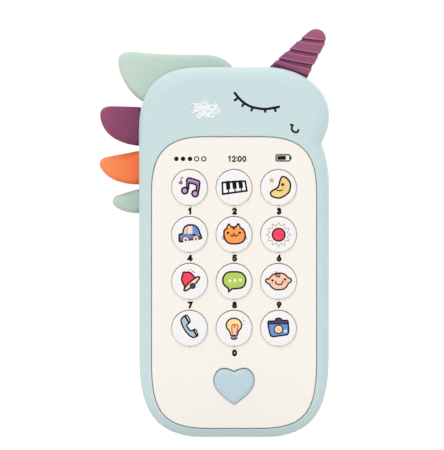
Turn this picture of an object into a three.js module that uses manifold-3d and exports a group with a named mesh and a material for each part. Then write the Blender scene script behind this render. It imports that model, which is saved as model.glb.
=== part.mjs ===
// Toy cell phone with a sleeping unicorn's head: two moulded half shells, a white key panel with twelve round
// keys and a heart key, a rubber keypad on a circuit board, a loudspeaker, a three-cell battery bay with a
// screwed door, and a soft horn and four soft mane petals clamped between the shells.
// Millimetres. +Z runs up the phone to the horn, -Y points out of the key panel, +X is to the right as the
// panel is faced. The origin is under the middle of the foot at the phone's bottom end.
import * as THREE from "three";
import { mergeVertices } from "three/addons/utils/BufferGeometryUtils.js";
import Module from "manifold-3d";

const wasm = await Module();
wasm.setup();

// ---- Driving dimensions ----
const HALF_WIDTH = 37.2;
const TOP = 144.8;
const HALF_DEPTH = 13;
const WALL = 2;
const PARTING = 2; // the plane where the two shells meet
const SHUT_LINE = 0.3; // the visible gap between the shells
const GAP = 0.3; // clearance around a piece that passes through another
const CONTACT = 0.1; // clearance under a piece that rests on another
const FOOT_HALF = 12; // half the length of the foot
const FOOT_HOLLOW = 0.05; // how far the middle of the foot lies above its ends, so that it doesn't rock
const EDGE = { rim: 5.4, roll: 6.5, steps: 5 }; // the body's rounded edges: reach across the face, and depth
const EASE = 0.25; // the small chamfer on edges that a finger meets
const CURVE_STEPS = 12;
const INNER_STEPS = 8; // on the hidden inside faces of the shells

const PANEL = { front: -12.7, back: -10.9, flangeFront: -10.6, flangeBack: -9.5, flange: 0.85, skirt: 1.5 };
const KEY_PITCH_X = 17.35;
const KEY_PITCH_Z = 18.3;
const KEY_TOP_ROW_Z = 97.7;
const KEY = { hole: 7.1, radius: 6.8, flange: 7.7, crown: -14.2, flangeFront: -10.6, flangeBack: -9.6 };
const STEM = { radius: 2.4, end: -7.9 };
const HEART = { stemZ: 21.5, flange: 0.6, edge: { rim: 0.9, roll: 0.8, steps: 2 } };
const LUG = { half: 0.5, notchHalf: 0.9 }; // a rib on the panel that keeps a key from turning

const PAD = { dome: 4.5, domeTop: 2.7, top: -7.6, front: -5.6, back: -4.6 };
const BOARD = { halfWidth: 23, bottom: 16.5, top: 107, front: -4.3, back: -2.7 };
const BOARD_POST = { radius: 2.5, pilot: 1.25, pilotFront: -9.2, end: -4.6 };
const BOARD_SCREW = { tip: -8.6, head: 2.1, headThick: 1.2, shank: 0.95, hole: 1.3 };
const BOARD_SCREW_ROWS = [KEY_TOP_ROW_Z - KEY_PITCH_Z / 2, KEY_TOP_ROW_Z - 2.5 * KEY_PITCH_Z];

const CASE_SCREWS = [
  { name: "case_screw_bottom_left", x: -23.6, z: 12.5 },
  { name: "case_screw_bottom_right", x: 23.6, z: 12.5 },
  { name: "case_screw_top_left", x: -24.5, z: 126.5 },
  { name: "case_screw_top_right", x: 26.5, z: 127.5 },
];
const CASE_POST = { radius: 3.7, well: 2.9, seatBack: 5, seatFront: 3.2, hole: 1.6 };
const CASE_BOSS = { radius: 3.2, back: 2.9, pilot: 1.55, pilotFront: -7, lowFront: -9, webBack: 0.2 };
const CASE_SCREW = { tip: -5.5, head: 2.5, headThick: 2, shank: 1.25 };

const BAY = { halfWidth: 16.8, bottom: 25, top: 75, floor: 0.2, floorThick: 1, wall: 1.2, ledge: 2.4 };
const DOOR = { thick: 1.6, corner: 3, ear: 4.6, earThick: 2.8, earZ: [20.9, 79.1] };
const DOOR_SCREW = { head: 2.2, headThick: 1.3, shank: 1, hole: 1.3, tip: 5.5, boss: 6.2, bossFront: 3.8 };
const CELL = { radius: 5.25, length: 44.5, nub: 1.9, nubLength: 1, pitch: 11, y: 5.75 };
const CONTACT_PLATE = { half: 3.9, thick: 0.5, lugHalf: 1, lugLength: 5.6, lugFront: 0.8, lugBack: 1.3 };

const SPEAKER = { x: 0, z: 122, rim: 14.2, depth: 5.3, seat: 15.8, seatFront: 8 };
const MAGNET = { radius: 8, thick: 3.6 };
const GRILLE = { hole: 1.1, rings: [[1, 0], [6, 4.6], [12, 9.2]] };
const SWITCH = { z: 95, halfWidth: 4.4, halfHeight: 2.2, channel: 1.3, pinPitch: 2.5 };
const KNOB = { x: -2, half: 1.6, travel: 4, back: 12.8 };
const SWITCH_DISH = { halfWidth: 8.5, halfHeight: 4.4, deep: 1.1, corner: 3.2 };

const SILICONE = { thick: 7, rim: 1.3, roll: 2.4 };
const HORN = { x: 21.4, z: 142.3, tilt: THREE.MathUtils.degToRad(38), flatten: 0.82, thick: 9.2 };
const PEG = { radius: 1.5, hole: 1.9, past: 0.7 };
const CHIP = { x: -2, z: 99, radius: 5, thick: 1.9 };
const CAPACITOR = { x: 15, z: 98, radius: 2.5, length: 7.5 };
const WIRE = { radius: 0.65, curve: 3, pitch: 3.2 };

// ---- Colours and finishes ----
const finish = (color, roughness, metalness = 0) =>
  new THREE.MeshStandardMaterial({ color, roughness, metalness });
const SHELL_BLUE = finish(0xbfd9df, 0.45);
const PANEL_WHITE = finish(0xf8f3ee, 0.4);
const KEY_WHITE = finish(0xf7f6f4, 0.3);
const HEART_BLUE = finish(0xb8d3dc, 0.4);
const CREST_GREEN = finish(0xbfd5c6, 0.6);
const MINT_GREEN = finish(0xafc8bd, 0.6);
const PLUM = finish(0x8c4a70, 0.6);
const ORANGE = finish(0xff8b54, 0.6);
const PAD_GREY = finish(0xd6d4cf, 0.8);
const BOARD_TAN = finish(0xb5823c, 0.6);
const BLACK = finish(0x141414, 0.4);
const STEEL = finish(0xb9bcc0, 0.35, 1);
const NICKEL = finish(0xd2d0c8, 0.25, 1);
const CELL_WRAP = finish(0x3c6f8f, 0.35);
const CONE_PAPER = finish(0x2a2826, 0.9);
const MAGNET_GREY = finish(0x6d6f72, 0.5, 0.6);
const WIRE_RED = finish(0xc22e2a, 0.5);
const WIRE_BLACK = finish(0x1c1c1e, 0.5);

// ---- Solids from three.js geometry ----
// A turned profile may run either way, so a solid that comes out inside out has its triangles reversed.
function toSolid(geometry) {
  const bare = geometry.clone();
  bare.deleteAttribute("normal");
  bare.deleteAttribute("uv");
  const merged = mergeVertices(bare, 1e-4);
  const vertProperties = merged.attributes.position.array;
  const triVerts = new Uint32Array(merged.index.array);
  const solid = new wasm.Manifold(new wasm.Mesh({ numProp: 3, vertProperties, triVerts }));
  if (solid.volume() > 0) return solid;
  return new wasm.Manifold(new wasm.Mesh({ numProp: 3, vertProperties, triVerts: triVerts.reverse() }));
}

function toGeometry(solid) {
  const mesh = solid.getMesh();
  const geometry = new THREE.BufferGeometry();
  geometry.setAttribute("position", new THREE.BufferAttribute(mesh.vertProperties, 3));
  geometry.setIndex(new THREE.BufferAttribute(mesh.triVerts, 1));
  geometry.computeVertexNormals();
  return geometry;
}

const join = (solids) => solids.reduce((whole, solid) => whole.add(solid));
const cut = (solid, cutters) => cutters.reduce((left, cutter) => left.subtract(cutter), solid);

// A plate of an outline drawn in X and Z, from y = front to y = back. Its edges are rounded by an ellipse
// that reaches rim across the face and roll into the depth, and grow widens the outline all round.
function slab(shape, front, back, { rim = 0, roll = 0, grow = 0, curve = CURVE_STEPS, steps = 3 } = {}) {
  const geometry = new THREE.ExtrudeGeometry(shape, {
    depth: back - front - 2 * roll,
    bevelEnabled: true,
    bevelThickness: roll,
    bevelSize: rim,
    bevelOffset: grow - rim,
    bevelSegments: roll > 0 ? steps : 0,
    curveSegments: curve,
  });
  geometry.rotateX(Math.PI / 2);
  geometry.translate(0, back - roll, 0);
  return toSolid(geometry);
}

// A round bar along Y.
function rod(radius, front, back, x, z, sides = 12) {
  const geometry = new THREE.CylinderGeometry(radius, radius, back - front, sides);
  geometry.translate(x, (front + back) / 2, z);
  return toSolid(geometry);
}

function box([x0, x1], [y0, y1], [z0, z1]) {
  const geometry = new THREE.BoxGeometry(x1 - x0, y1 - y0, z1 - z0);
  geometry.translate((x0 + x1) / 2, (y0 + y1) / 2, (z0 + z1) / 2);
  return toSolid(geometry);
}

// A turned piece about an axis along Y through (x, z). The profile holds [radius, y] pairs.
function turned(profile, x, z, sides) {
  const points = profile.map(([radius, y]) => new THREE.Vector2(radius, y));
  const geometry = new THREE.LatheGeometry(points, sides);
  geometry.translate(x, 0, z);
  return toSolid(geometry);
}

// ---- Outlines, in X and Z ----
function roundedRectangle(halfWidth, bottom, top, corner) {
  const shape = new THREE.Shape();
  shape.moveTo(-halfWidth + corner, bottom);
  shape.lineTo(halfWidth - corner, bottom);
  shape.quadraticCurveTo(halfWidth, bottom, halfWidth, bottom + corner);
  shape.lineTo(halfWidth, top - corner);
  shape.quadraticCurveTo(halfWidth, top, halfWidth - corner, top);
  shape.lineTo(-halfWidth + corner, top);
  shape.quadraticCurveTo(-halfWidth, top, -halfWidth, top - corner);
  shape.lineTo(-halfWidth, bottom + corner);
  shape.quadraticCurveTo(-halfWidth, bottom, -halfWidth + corner, bottom);
  return shape;
}

// The phone's outline: soft lower corners, a nick under the snout on the right, and a domed head.
function bodyOutline() {
  const shape = new THREE.Shape();
  const noseZ = 126;
  const nick = { x: 34.3, z: 115.1, half: 0.8 };
  shape.moveTo(-FOOT_HALF, 0);
  shape.lineTo(0, FOOT_HOLLOW);
  shape.lineTo(FOOT_HALF, 0);
  shape.bezierCurveTo(31, 0, HALF_WIDTH, 10.5, HALF_WIDTH, 31);
  shape.lineTo(HALF_WIDTH, 98);
  shape.bezierCurveTo(HALF_WIDTH, 105, 36, 110, nick.x + 0.15, nick.z - nick.half);
  shape.quadraticCurveTo(nick.x - 0.1, nick.z, nick.x + 0.3, nick.z + nick.half);
  shape.bezierCurveTo(36.3, 119, HALF_WIDTH, 122, HALF_WIDTH, noseZ);
  shape.bezierCurveTo(HALF_WIDTH, 136, 27, TOP, FOOT_HALF, TOP);
  shape.lineTo(-FOOT_HALF, TOP);
  shape.bezierCurveTo(-27.5, TOP, -HALF_WIDTH, 139.5, -HALF_WIDTH, 120);
  shape.lineTo(-HALF_WIDTH, 31);
  shape.bezierCurveTo(-HALF_WIDTH, 10.5, -31, 0, -FOOT_HALF, 0);
  return shape;
}

function panelOutline() {
  const halfWidth = 32.1;
  const bottom = 3.75;
  const top = 117.3;
  const shape = new THREE.Shape();
  shape.moveTo(-10, bottom);
  shape.lineTo(10, bottom);
  shape.bezierCurveTo(28.5, bottom, halfWidth, 11, halfWidth, 30);
  shape.lineTo(halfWidth, 95);
  shape.bezierCurveTo(halfWidth, 106.5, 30, top, 12, top);
  shape.lineTo(-12, top);
  shape.bezierCurveTo(-30, top, -halfWidth, 106.5, -halfWidth, 95);
  shape.lineTo(-halfWidth, 30);
  shape.bezierCurveTo(-halfWidth, 11, -28.5, bottom, -10, bottom);
  return shape;
}

// The heart-shaped hole of the panel, and, drawn smaller, the heart key.
function heartOutline() {
  const lobe = 27.2;
  const side = 8;
  const shape = new THREE.Shape();
  shape.moveTo(0, 12.9);
  shape.bezierCurveTo(3.5, 15.2, side, 18.5, side, 22.2);
  shape.bezierCurveTo(side, 25, 6.4, lobe, 3.8, lobe);
  shape.bezierCurveTo(2.4, lobe, 1.2, 26.6, 0, 26);
  shape.bezierCurveTo(-1.2, 26.6, -2.4, lobe, -3.8, lobe);
  shape.bezierCurveTo(-6.4, lobe, -side, 25, -side, 22.2);
  shape.bezierCurveTo(-side, 18.5, -3.5, 15.2, 0, 12.9);
  return shape;
}

// A mane petal that lies to the left of the body: a straight upper edge, a round nose, a full lower edge,
// and a root that runs into the shell.
function petalOutline({ wallTop, shoulder, corner, nose, pulls, wallBottom }) {
  const rootX = -29.5;
  const taper = 1.6;
  const shape = new THREE.Shape();
  shape.moveTo(rootX, wallTop[1] - taper);
  shape.lineTo(...wallTop);
  shape.lineTo(...shoulder);
  shape.quadraticCurveTo(...corner, ...nose);
  shape.bezierCurveTo(...pulls, ...wallBottom);
  shape.lineTo(rootX, wallBottom[1] + taper);
  shape.closePath();
  return shape;
}

function crestOutline() {
  const shape = new THREE.Shape();
  shape.moveTo(0, 144.4);
  shape.bezierCurveTo(-2.5, 147.8, -5.5, 149.9, -12, 149.9);
  shape.bezierCurveTo(-20, 149.9, -30, 149.9, -39, 151);
  shape.bezierCurveTo(-43.5, 151.5, -45.6, 150, -45.5, 147.2);
  shape.bezierCurveTo(-45.3, 142, -41.5, 134.8, -36, 131.6);
  shape.lineTo(-31, 129.5);
  shape.bezierCurveTo(-28, 133.5, -22, 135.6, -12, 135.6);
  shape.lineTo(-3, 135.6);
  shape.closePath();
  return shape;
}

// The horn: a blunt cone turned about a tilted axis and flattened in depth, with a narrower root.
// Each pair is a radius and a distance along the axis from the horn's foot.
const HORN_ROOT = [[0, -11], [5.6, -11], [5.6, -7], [7.5, -6]];
const HORN_TIP = [[4.2, 17], [3.5, 19.6], [2.5, 20.8], [1.2, 21.4], [0, 21.6]];
const HORN_CONE = [[7.5, -2], [6.9, 2.5], [5.8, 8], [4.95, 13], ...HORN_TIP];

function hornBody(grow = 0) {
  const widen = (end) => ([radius, along]) => new THREE.Vector2(radius && radius + grow, along + end);
  const points = [...HORN_ROOT.map(widen(-grow)), ...HORN_CONE.map(widen(grow))];
  const geometry = new THREE.LatheGeometry(points, 16);
  geometry.scale(1, 1, HORN.flatten);
  geometry.rotateX(Math.PI / 2);
  geometry.rotateY(HORN.tilt);
  geometry.translate(HORN.x, PARTING, HORN.z);
  return toSolid(geometry);
}

// The soft pieces: outline, depth, edge rounding, and the holes in the root for the rear shell's pegs.
const softPieces = [
  { name: "horn", body: hornBody, thick: HORN.thick, pegs: [[15.6, 136.9]], material: PLUM },
  {
    name: "mane_crest",
    shape: crestOutline(),
    ...SILICONE,
    pegs: [[-10, 139.8], [-26.5, 136.6]],
    material: CREST_GREEN,
  },
  {
    name: "mane_upper",
    shape: petalOutline({
      wallTop: [-37.5, 129.4],
      shoulder: [-48, 129.7],
      corner: [-52.6, 129.7],
      nose: [-52.6, 126.2],
      pulls: [-52.2, 120, -47.5, 115.2],
      wallBottom: [-37.7, 114.1],
    }),
    ...SILICONE,
    pegs: [[-32.3, 121.8]],
    material: PLUM,
  },
  {
    name: "mane_middle",
    shape: petalOutline({
      wallTop: [-37.7, 112.1],
      shoulder: [-49.5, 109.8],
      corner: [-52.8, 109.3],
      nose: [-52.8, 107],
      pulls: [-52.5, 104.2, -48.5, 99],
      wallBottom: [-37.7, 98.9],
    }),
    ...SILICONE,
    pegs: [[-32.3, 105.7]],
    material: ORANGE,
  },
  {
    name: "mane_lower",
    shape: petalOutline({
      wallTop: [-37.7, 97.1],
      shoulder: [-44, 95.3],
      corner: [-47.7, 94.5],
      nose: [-47.7, 92.2],
      pulls: [-47.6, 90, -43.5, 87.7],
      wallBottom: [-37.7, 87.6],
    }),
    ...SILICONE,
    pegs: [[-32.3, 92.4]],
    material: MINT_GREEN,
  },
];

function softBody({ body, shape, thick, rim, roll }, grow = 0) {
  if (body) return body(grow);
  const half = thick / 2 + grow;
  return slab(shape, PARTING - half, PARTING + half, { rim, roll, grow, curve: 5, steps: 2 });
}

function softSolid(piece) {
  const hole = ([x, z]) => rod(PEG.hole, PARTING - piece.thick, PARTING + piece.thick, x, z, 8);
  return cut(softBody(piece), piece.pegs.map(hole));
}

// ---- Keys ----
const keyNames = ["1", "2", "3", "4", "5", "6", "7", "8", "9", "call", "0", "camera"];
const keyPlaces = keyNames.map((name, i) => ({
  name: `key_${name}`,
  x: ((i % 3) - 1) * KEY_PITCH_X,
  z: KEY_TOP_ROW_Z - Math.floor(i / 3) * KEY_PITCH_Z,
}));

// The rib on the back of the panel below a key, or, widened, the notch for it in the key's flange.
function turnStop(x, z, half, grow) {
  const depth = [PANEL.back - 0.2, KEY.flangeBack + GAP];
  return box([x - half, x + half], depth, [z - KEY.flange - 0.4, z - KEY.hole - 0.1 + grow]);
}

function roundKey({ x, z }) {
  const body = turned(
    [
      [0, STEM.end],
      [STEM.radius, STEM.end],
      [STEM.radius, KEY.flangeBack],
      [KEY.flange, KEY.flangeBack],
      [KEY.flange, KEY.flangeFront],
      [KEY.radius, KEY.flangeFront],
      [KEY.radius, -13.2],
      [5.9, -13.9],
      [0, KEY.crown],
    ],
    x,
    z,
    18,
  );
  return body.subtract(turnStop(x, z, LUG.notchHalf, GAP));
}

// The cap's rounded rear edge is buried in the flange, and the flange hides it.
function heartKey() {
  const capBack = KEY.flangeBack - 0.2;
  const cap = slab(heartOutline(), KEY.crown, capBack, { ...HEART.edge, grow: -GAP, curve: 4 });
  const flange = slab(heartOutline(), KEY.flangeFront, KEY.flangeBack, { grow: HEART.flange, curve: 4 });
  const stem = rod(STEM.radius, capBack - 0.2, STEM.end, 0, HEART.stemZ);
  return join([cap, flange, stem]);
}

// ---- Face panel, rubber keypad and circuit board ----
const boardScrews = BOARD_SCREW_ROWS.flatMap((z) => [
  { x: -KEY_PITCH_X / 2, z },
  { x: KEY_PITCH_X / 2, z },
]);

// A hole for a round key, with its front edge chamfered.
function keyHole({ x, z }) {
  const profile = [
    [0, PANEL.front - 1],
    [KEY.hole + EASE, PANEL.front - 1],
    [KEY.hole + EASE, PANEL.front],
    [KEY.hole, PANEL.front + EASE],
    [KEY.hole, PANEL.back + 1],
    [0, PANEL.back + 1],
  ];
  return turned(profile, x, z, 30);
}

// Cuts the chamfer round an opening of a face that looks towards -Y and lies at y = face.
function easeCutter(shape, face, grow, curve = CURVE_STEPS) {
  const chamfer = { rim: EASE, roll: EASE, grow: grow + EASE, curve, steps: 1 };
  return slab(shape, face - 1, face + EASE, chamfer);
}

function facePanel() {
  const outline = panelOutline();
  const plate = slab(outline, PANEL.front, PANEL.flangeBack, { rim: EASE, roll: EASE, steps: 1 });
  const flange = slab(outline, PANEL.flangeFront, PANEL.flangeBack, { grow: PANEL.flange });
  const pocket = slab(outline, PANEL.back, 0, { grow: -PANEL.skirt });
  const posts = boardScrews.map(({ x, z }) => rod(BOARD_POST.radius, PANEL.front + 1, BOARD_POST.end, x, z));
  const stops = keyPlaces.map(({ x, z }) => turnStop(x, z, LUG.half, 0));
  const holes = keyPlaces.map(keyHole);
  const pilots = boardScrews.map(({ x, z }) => rod(BOARD_POST.pilot, BOARD_POST.pilotFront, 0, x, z, 8));
  const heart = slab(heartOutline(), PANEL.front - 1, PANEL.back + 1, { curve: 8 });
  const heartEase = easeCutter(heartOutline(), PANEL.front, 0, 8);
  const body = plate.add(flange).subtract(pocket);
  return cut(join([cut(body, [...holes, heart, heartEase]), ...posts, ...stops]), pilots);
}

function keypadMembrane() {
  const outline = roundedRectangle(BOARD.halfWidth - 0.5, BOARD.bottom + 0.3, BOARD.top - 2, 3);
  const sheet = slab(outline, PAD.front, PAD.back, { curve: 3 });
  const inSheet = PAD.front + 0.5;
  const foot = [[0, inSheet], [PAD.dome, inSheet], [PAD.dome, PAD.front]];
  const profile = [...foot, [PAD.domeTop, PAD.top], [0, PAD.top]];
  const places = [...keyPlaces, { x: 0, z: HEART.stemZ }];
  const domes = places.map(({ x, z }) => turned(profile, x, z, 10));
  const holes = boardScrews.map(({ x, z }) => rod(BOARD_POST.radius + 0.5, PAD.top, PAD.back + 1, x, z, 8));
  return cut(join([sheet, ...domes]), holes);
}

function circuitBoard() {
  const outline = roundedRectangle(BOARD.halfWidth, BOARD.bottom, BOARD.top, 3);
  const hole = ({ x, z }) => rod(BOARD_SCREW.hole, BOARD.front - 1, BOARD.back + 1, x, z, 8);
  return cut(slab(outline, BOARD.front, BOARD.back, { curve: 3 }), boardScrews.map(hole));
}

// ---- Shells ----
const bodyShape = bodyOutline();
const outerBody = () => slab(bodyShape, -HALF_DEPTH, HALF_DEPTH, EDGE);
const INNER_EDGE = { rim: 1, roll: 1, steps: 1, grow: -WALL, curve: INNER_STEPS };
const innerBody = () => slab(bodyShape, -HALF_DEPTH + WALL, HALF_DEPTH - WALL, INNER_EDGE);
const everything = (front, back) => box([-80, 80], [front, back], [-20, 200]);

// The step joint along the shut line: the rear shell's inner lip, and the groove for it in the front shell.
const LIP = { outer: 1.2, inner: 2.2, reach: 1.6 };
function lipRing(grow) {
  const ring = (inset, front, back) => slab(bodyShape, front, back, { grow: -inset, curve: INNER_STEPS });
  const outside = ring(LIP.outer - grow, PARTING - LIP.reach - grow, PARTING + 1);
  const inside = ring(LIP.inner, PARTING - LIP.reach - 1, PARTING + 2);
  return outside.subtract(inside);
}

const softSlots = softPieces.map((piece) => softBody(piece, GAP));

// A screw boss: the upper two stand on the front wall, and the lower two, which pass behind the face
// panel, are held to the side wall by a web.
function caseBoss({ x, z }) {
  if (z > TOP / 2) return rod(CASE_BOSS.radius, -HALF_DEPTH + WALL - 0.5, CASE_BOSS.back, x, z);
  const boss = rod(CASE_BOSS.radius, CASE_BOSS.lowFront, CASE_BOSS.back, x, z);
  const across = [x, Math.sign(x) * HALF_WIDTH].sort((a, b) => a - b);
  const web = box(across, [CASE_BOSS.lowFront, CASE_BOSS.webBack], [z - 1, z + 1]);
  const inside = slab(bodyShape, CASE_BOSS.lowFront, PARTING, { grow: -WALL / 2 });
  return boss.add(web.intersect(inside));
}

function frontShell() {
  const front = everything(-HALF_DEPTH - 1, PARTING - SHUT_LINE);
  const window = slab(panelOutline(), -HALF_DEPTH - 1, 0, { grow: GAP });
  const hollow = outerBody().intersect(front).subtract(innerBody());
  const pilots = CASE_SCREWS.map(({ x, z }) =>
    rod(CASE_BOSS.pilot, CASE_BOSS.pilotFront, CASE_BOSS.back + 1, x, z, 10),
  );
  const openings = [window, easeCutter(panelOutline(), -HALF_DEPTH, GAP), lipRing(GAP)];
  const body = join([cut(hollow, openings), ...CASE_SCREWS.map(caseBoss)]);
  return cut(body, [...pilots, ...softSlots]);
}

function doorOutline(grow) {
  const edge = BAY.ledge - GAP + grow;
  return roundedRectangle(BAY.halfWidth + edge, BAY.bottom - edge, BAY.top + edge, DOOR.corner + grow);
}

function grilleHoles() {
  return GRILLE.rings.flatMap(([count, radius]) =>
    Array.from({ length: count }, (_, i) => {
      const angle = (2 * Math.PI * i) / count;
      const x = SPEAKER.x + radius * Math.cos(angle);
      const z = SPEAKER.z + radius * Math.sin(angle);
      return rod(GRILLE.hole, HALF_DEPTH - WALL - 1, HALF_DEPTH + 1, x, z, 10);
    }),
  );
}

// The ring that the loudspeaker's rim sits in.
function speakerSeat() {
  const inner = HALF_DEPTH - WALL;
  const ring = rod(SPEAKER.seat, SPEAKER.seatFront, inner + 0.5, SPEAKER.x, SPEAKER.z, 24);
  const middle = rod(SPEAKER.rim + GAP, SPEAKER.seatFront - 1, inner + 1, SPEAKER.x, SPEAKER.z, 24);
  return ring.subtract(middle);
}

// The slot that the switch's knob runs in, and the shallow dish around it.
function switchOpenings() {
  const half = SWITCH.halfWidth - 0.4;
  const depth = [HALF_DEPTH - WALL - 1, HALF_DEPTH + 1];
  const slot = box([-half, half], depth, [SWITCH.z - SWITCH.channel - 0.1, SWITCH.z + SWITCH.channel + 0.1]);
  const { halfWidth, halfHeight, corner, deep } = SWITCH_DISH;
  const outline = roundedRectangle(halfWidth, SWITCH.z - halfHeight, SWITCH.z + halfHeight, corner);
  return [slot, slab(outline, HALF_DEPTH - deep, HALF_DEPTH + 1, { curve: 3 })];
}

function rearShell() {
  const inner = HALF_DEPTH - WALL;
  const back = everything(PARTING, HALF_DEPTH + 1);
  const hollow = outerBody().intersect(back).subtract(innerBody());
  const bayFront = BAY.floor - BAY.floorThick;
  const bayBlock = (grow, from) => {
    const half = BAY.halfWidth + grow;
    return box([-half, half], [from, inner + 0.5], [BAY.bottom - grow, BAY.top + grow]);
  };
  const added = [
    lipRing(0),
    bayBlock(BAY.wall, bayFront),
    bayBlock(BAY.ledge + 1, inner - 1.8),
    ...DOOR.earZ.map((z) => rod(DOOR_SCREW.boss, DOOR_SCREW.bossFront, inner + 0.5, 0, z, 14)),
    ...CASE_SCREWS.map(({ x, z }) => rod(CASE_POST.radius, CASE_POST.seatFront, inner + 0.5, x, z)),
    speakerSeat(),
  ];
  const bay = box([-BAY.halfWidth, BAY.halfWidth], [BAY.floor, HALF_DEPTH + 1], [BAY.bottom, BAY.top]);
  const ribs = [-1, 1].map((side) => {
    const x = (side * CELL.pitch) / 2;
    return box([x - 0.45, x + 0.45], [BAY.floor - 0.3, 3], [BAY.bottom + 8, BAY.top - 8]);
  });
  const doorRecess = slab(doorOutline(GAP), HALF_DEPTH - DOOR.thick - GAP, HALF_DEPTH + 1, { curve: 5 });
  const earFloor = HALF_DEPTH - DOOR.earThick - GAP;
  const earRecess = DOOR.earZ.map((z) => rod(DOOR.ear + GAP, earFloor, HALF_DEPTH + 1, 0, z, 24));
  const doorPilots = DOOR.earZ.map((z) => rod(DOOR_SCREW.hole, DOOR_SCREW.tip - 0.6, HALF_DEPTH, 0, z, 10));
  const wells = CASE_SCREWS.flatMap(({ x, z }) => [
    rod(CASE_POST.well, CASE_POST.seatBack, HALF_DEPTH + 1, x, z, 20),
    rod(CASE_POST.hole, 0, HALF_DEPTH, x, z, 10),
  ]);
  const lugSlits = [contactEnds.positive, contactEnds.negative].map(({ x, end }) => {
    const z = end > 0 ? [BAY.top - 1, BAY.top + 3] : [BAY.bottom - 3, BAY.bottom + 1];
    const half = CONTACT_PLATE.lugHalf + 0.4;
    return box([x - half, x + half], [CONTACT_PLATE.lugFront - GAP, CONTACT_PLATE.lugBack + GAP], z);
  });
  const openings = [bay, doorRecess, ...earRecess, ...lugSlits, ...switchOpenings()];
  const cutters = [...openings, ...doorPilots, ...wells, ...grilleHoles(), ...softSlots];
  const pegs = softPieces.flatMap(({ pegs: places, thick }) =>
    places.map(([x, z]) => rod(PEG.radius, PARTING - thick / 2 - PEG.past, inner + 0.5, x, z)),
  );
  return join([cut(join([hollow, ...added]), cutters), ...ribs, ...pegs]);
}

// ---- Battery door, cells and contacts ----
function batteryDoor() {
  const edge = { rim: EASE, roll: EASE, curve: 5, steps: 1 };
  const leaf = slab(doorOutline(0), HALF_DEPTH - DOOR.thick, HALF_DEPTH, edge);
  const ears = DOOR.earZ.map((z) => rod(DOOR.ear, HALF_DEPTH - DOOR.earThick, HALF_DEPTH, 0, z, 24));
  const seat = HALF_DEPTH - DOOR.thick;
  const headWells = DOOR.earZ.map((z) => rod(DOOR_SCREW.head + GAP, seat, HALF_DEPTH + 1, 0, z));
  const holes = DOOR.earZ.map((z) => rod(DOOR_SCREW.hole, 0, HALF_DEPTH + 1, 0, z, 10));
  return cut(join([leaf, ...ears]), [...headWells, ...holes]);
}

// Cells lie along Z and alternate, so the positive end is up, down and up from left to right.
const contactEnds = {
  positive: { x: -CELL.pitch, end: 1 },
  negative: { x: CELL.pitch, end: -1 },
};
const cells = [
  { name: "battery_cell_left", x: -CELL.pitch, up: 1 },
  { name: "battery_cell_middle", x: 0, up: -1 },
  { name: "battery_cell_right", x: CELL.pitch, up: 1 },
];

// A point at a distance in from one end of the bay, the upper end for end = 1.
const fromEnd = (end, distance) => (end > 0 ? BAY.top - distance : BAY.bottom + distance);

function batteryCell({ x, up }) {
  const tip = fromEnd(up, GAP + CONTACT_PLATE.thick + GAP);
  const profile = [
    [0, 0],
    [CELL.nub, 0],
    [CELL.nub, CELL.nubLength],
    [CELL.radius, CELL.nubLength],
    [CELL.radius, CELL.length],
    [0, CELL.length],
  ];
  const points = profile.map(([radius, along]) => new THREE.Vector2(radius, -along));
  const geometry = new THREE.LatheGeometry(points, 16);
  geometry.rotateX(up > 0 ? Math.PI / 2 : -Math.PI / 2);
  geometry.translate(x, CELL.y, tip);
  return toSolid(geometry);
}

// The span in Z between two distances in from one end of the bay.
const spanFromEnd = (end, from, to) => [fromEnd(end, from), fromEnd(end, to)].sort((a, b) => a - b);
const plateSpan = (end) => spanFromEnd(end, GAP, GAP + CONTACT_PLATE.thick);

// The flat plate of a contact, against one end wall of the bay, spanning from x0 to x1.
const contactPlate = (x0, x1, end) =>
  box([x0, x1], [CELL.y - CONTACT_PLATE.half, CELL.y + CONTACT_PLATE.half], plateSpan(end));

// The coil spring that bears on a cell's flat end, as the tapered tube that its turns fill.
function contactSpring(x, end) {
  const base = GAP + CONTACT_PLATE.thick - 0.2;
  const spare = BAY.top - BAY.bottom - CELL.length;
  const reach = spare - 3 * GAP - CONTACT_PLATE.thick - base;
  const profile = [[2.6, 0], [3.3, 0], [2.7, reach], [2, reach], [2.6, 0]];
  const points = profile.map(([radius, along]) => new THREE.Vector2(radius, along));
  const geometry = new THREE.LatheGeometry(points, 14);
  geometry.rotateX(end > 0 ? -Math.PI / 2 : Math.PI / 2);
  geometry.translate(x, CELL.y, fromEnd(end, base));
  return toSolid(geometry);
}

// The tab of an end contact, which passes through the bay's end wall to its wire.
function contactLug({ x, end }) {
  const { lugHalf, lugFront, lugBack, lugLength } = CONTACT_PLATE;
  const across = [x - lugHalf, x + lugHalf];
  const tab = box(across, [lugFront, lugBack], spanFromEnd(end, GAP, -lugLength));
  return tab.add(box(across, [lugFront, CELL.y], plateSpan(end)));
}

const plateHalf = CONTACT_PLATE.half;
const contacts = {
  battery_contact_positive: join([
    contactPlate(-CELL.pitch - plateHalf, -CELL.pitch + plateHalf, 1),
    contactLug(contactEnds.positive),
  ]),
  battery_contact_negative: join([
    contactPlate(CELL.pitch - plateHalf, CELL.pitch + plateHalf, -1),
    contactSpring(CELL.pitch, -1),
    contactLug(contactEnds.negative),
  ]),
  battery_bridge_upper: join([contactPlate(-plateHalf, CELL.pitch + plateHalf, 1), contactSpring(0, 1)]),
  battery_bridge_lower: join([
    contactPlate(-CELL.pitch - plateHalf, plateHalf, -1),
    contactSpring(-CELL.pitch, -1),
  ]),
};

// ---- Loudspeaker, board parts and power switch ----
const WALL_FACE = HALF_DEPTH - WALL - CONTACT; // what is fixed to the rear wall's inside starts here
const speakerTurned = (profile) => turned(profile, SPEAKER.x, SPEAKER.z, 20);

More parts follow.
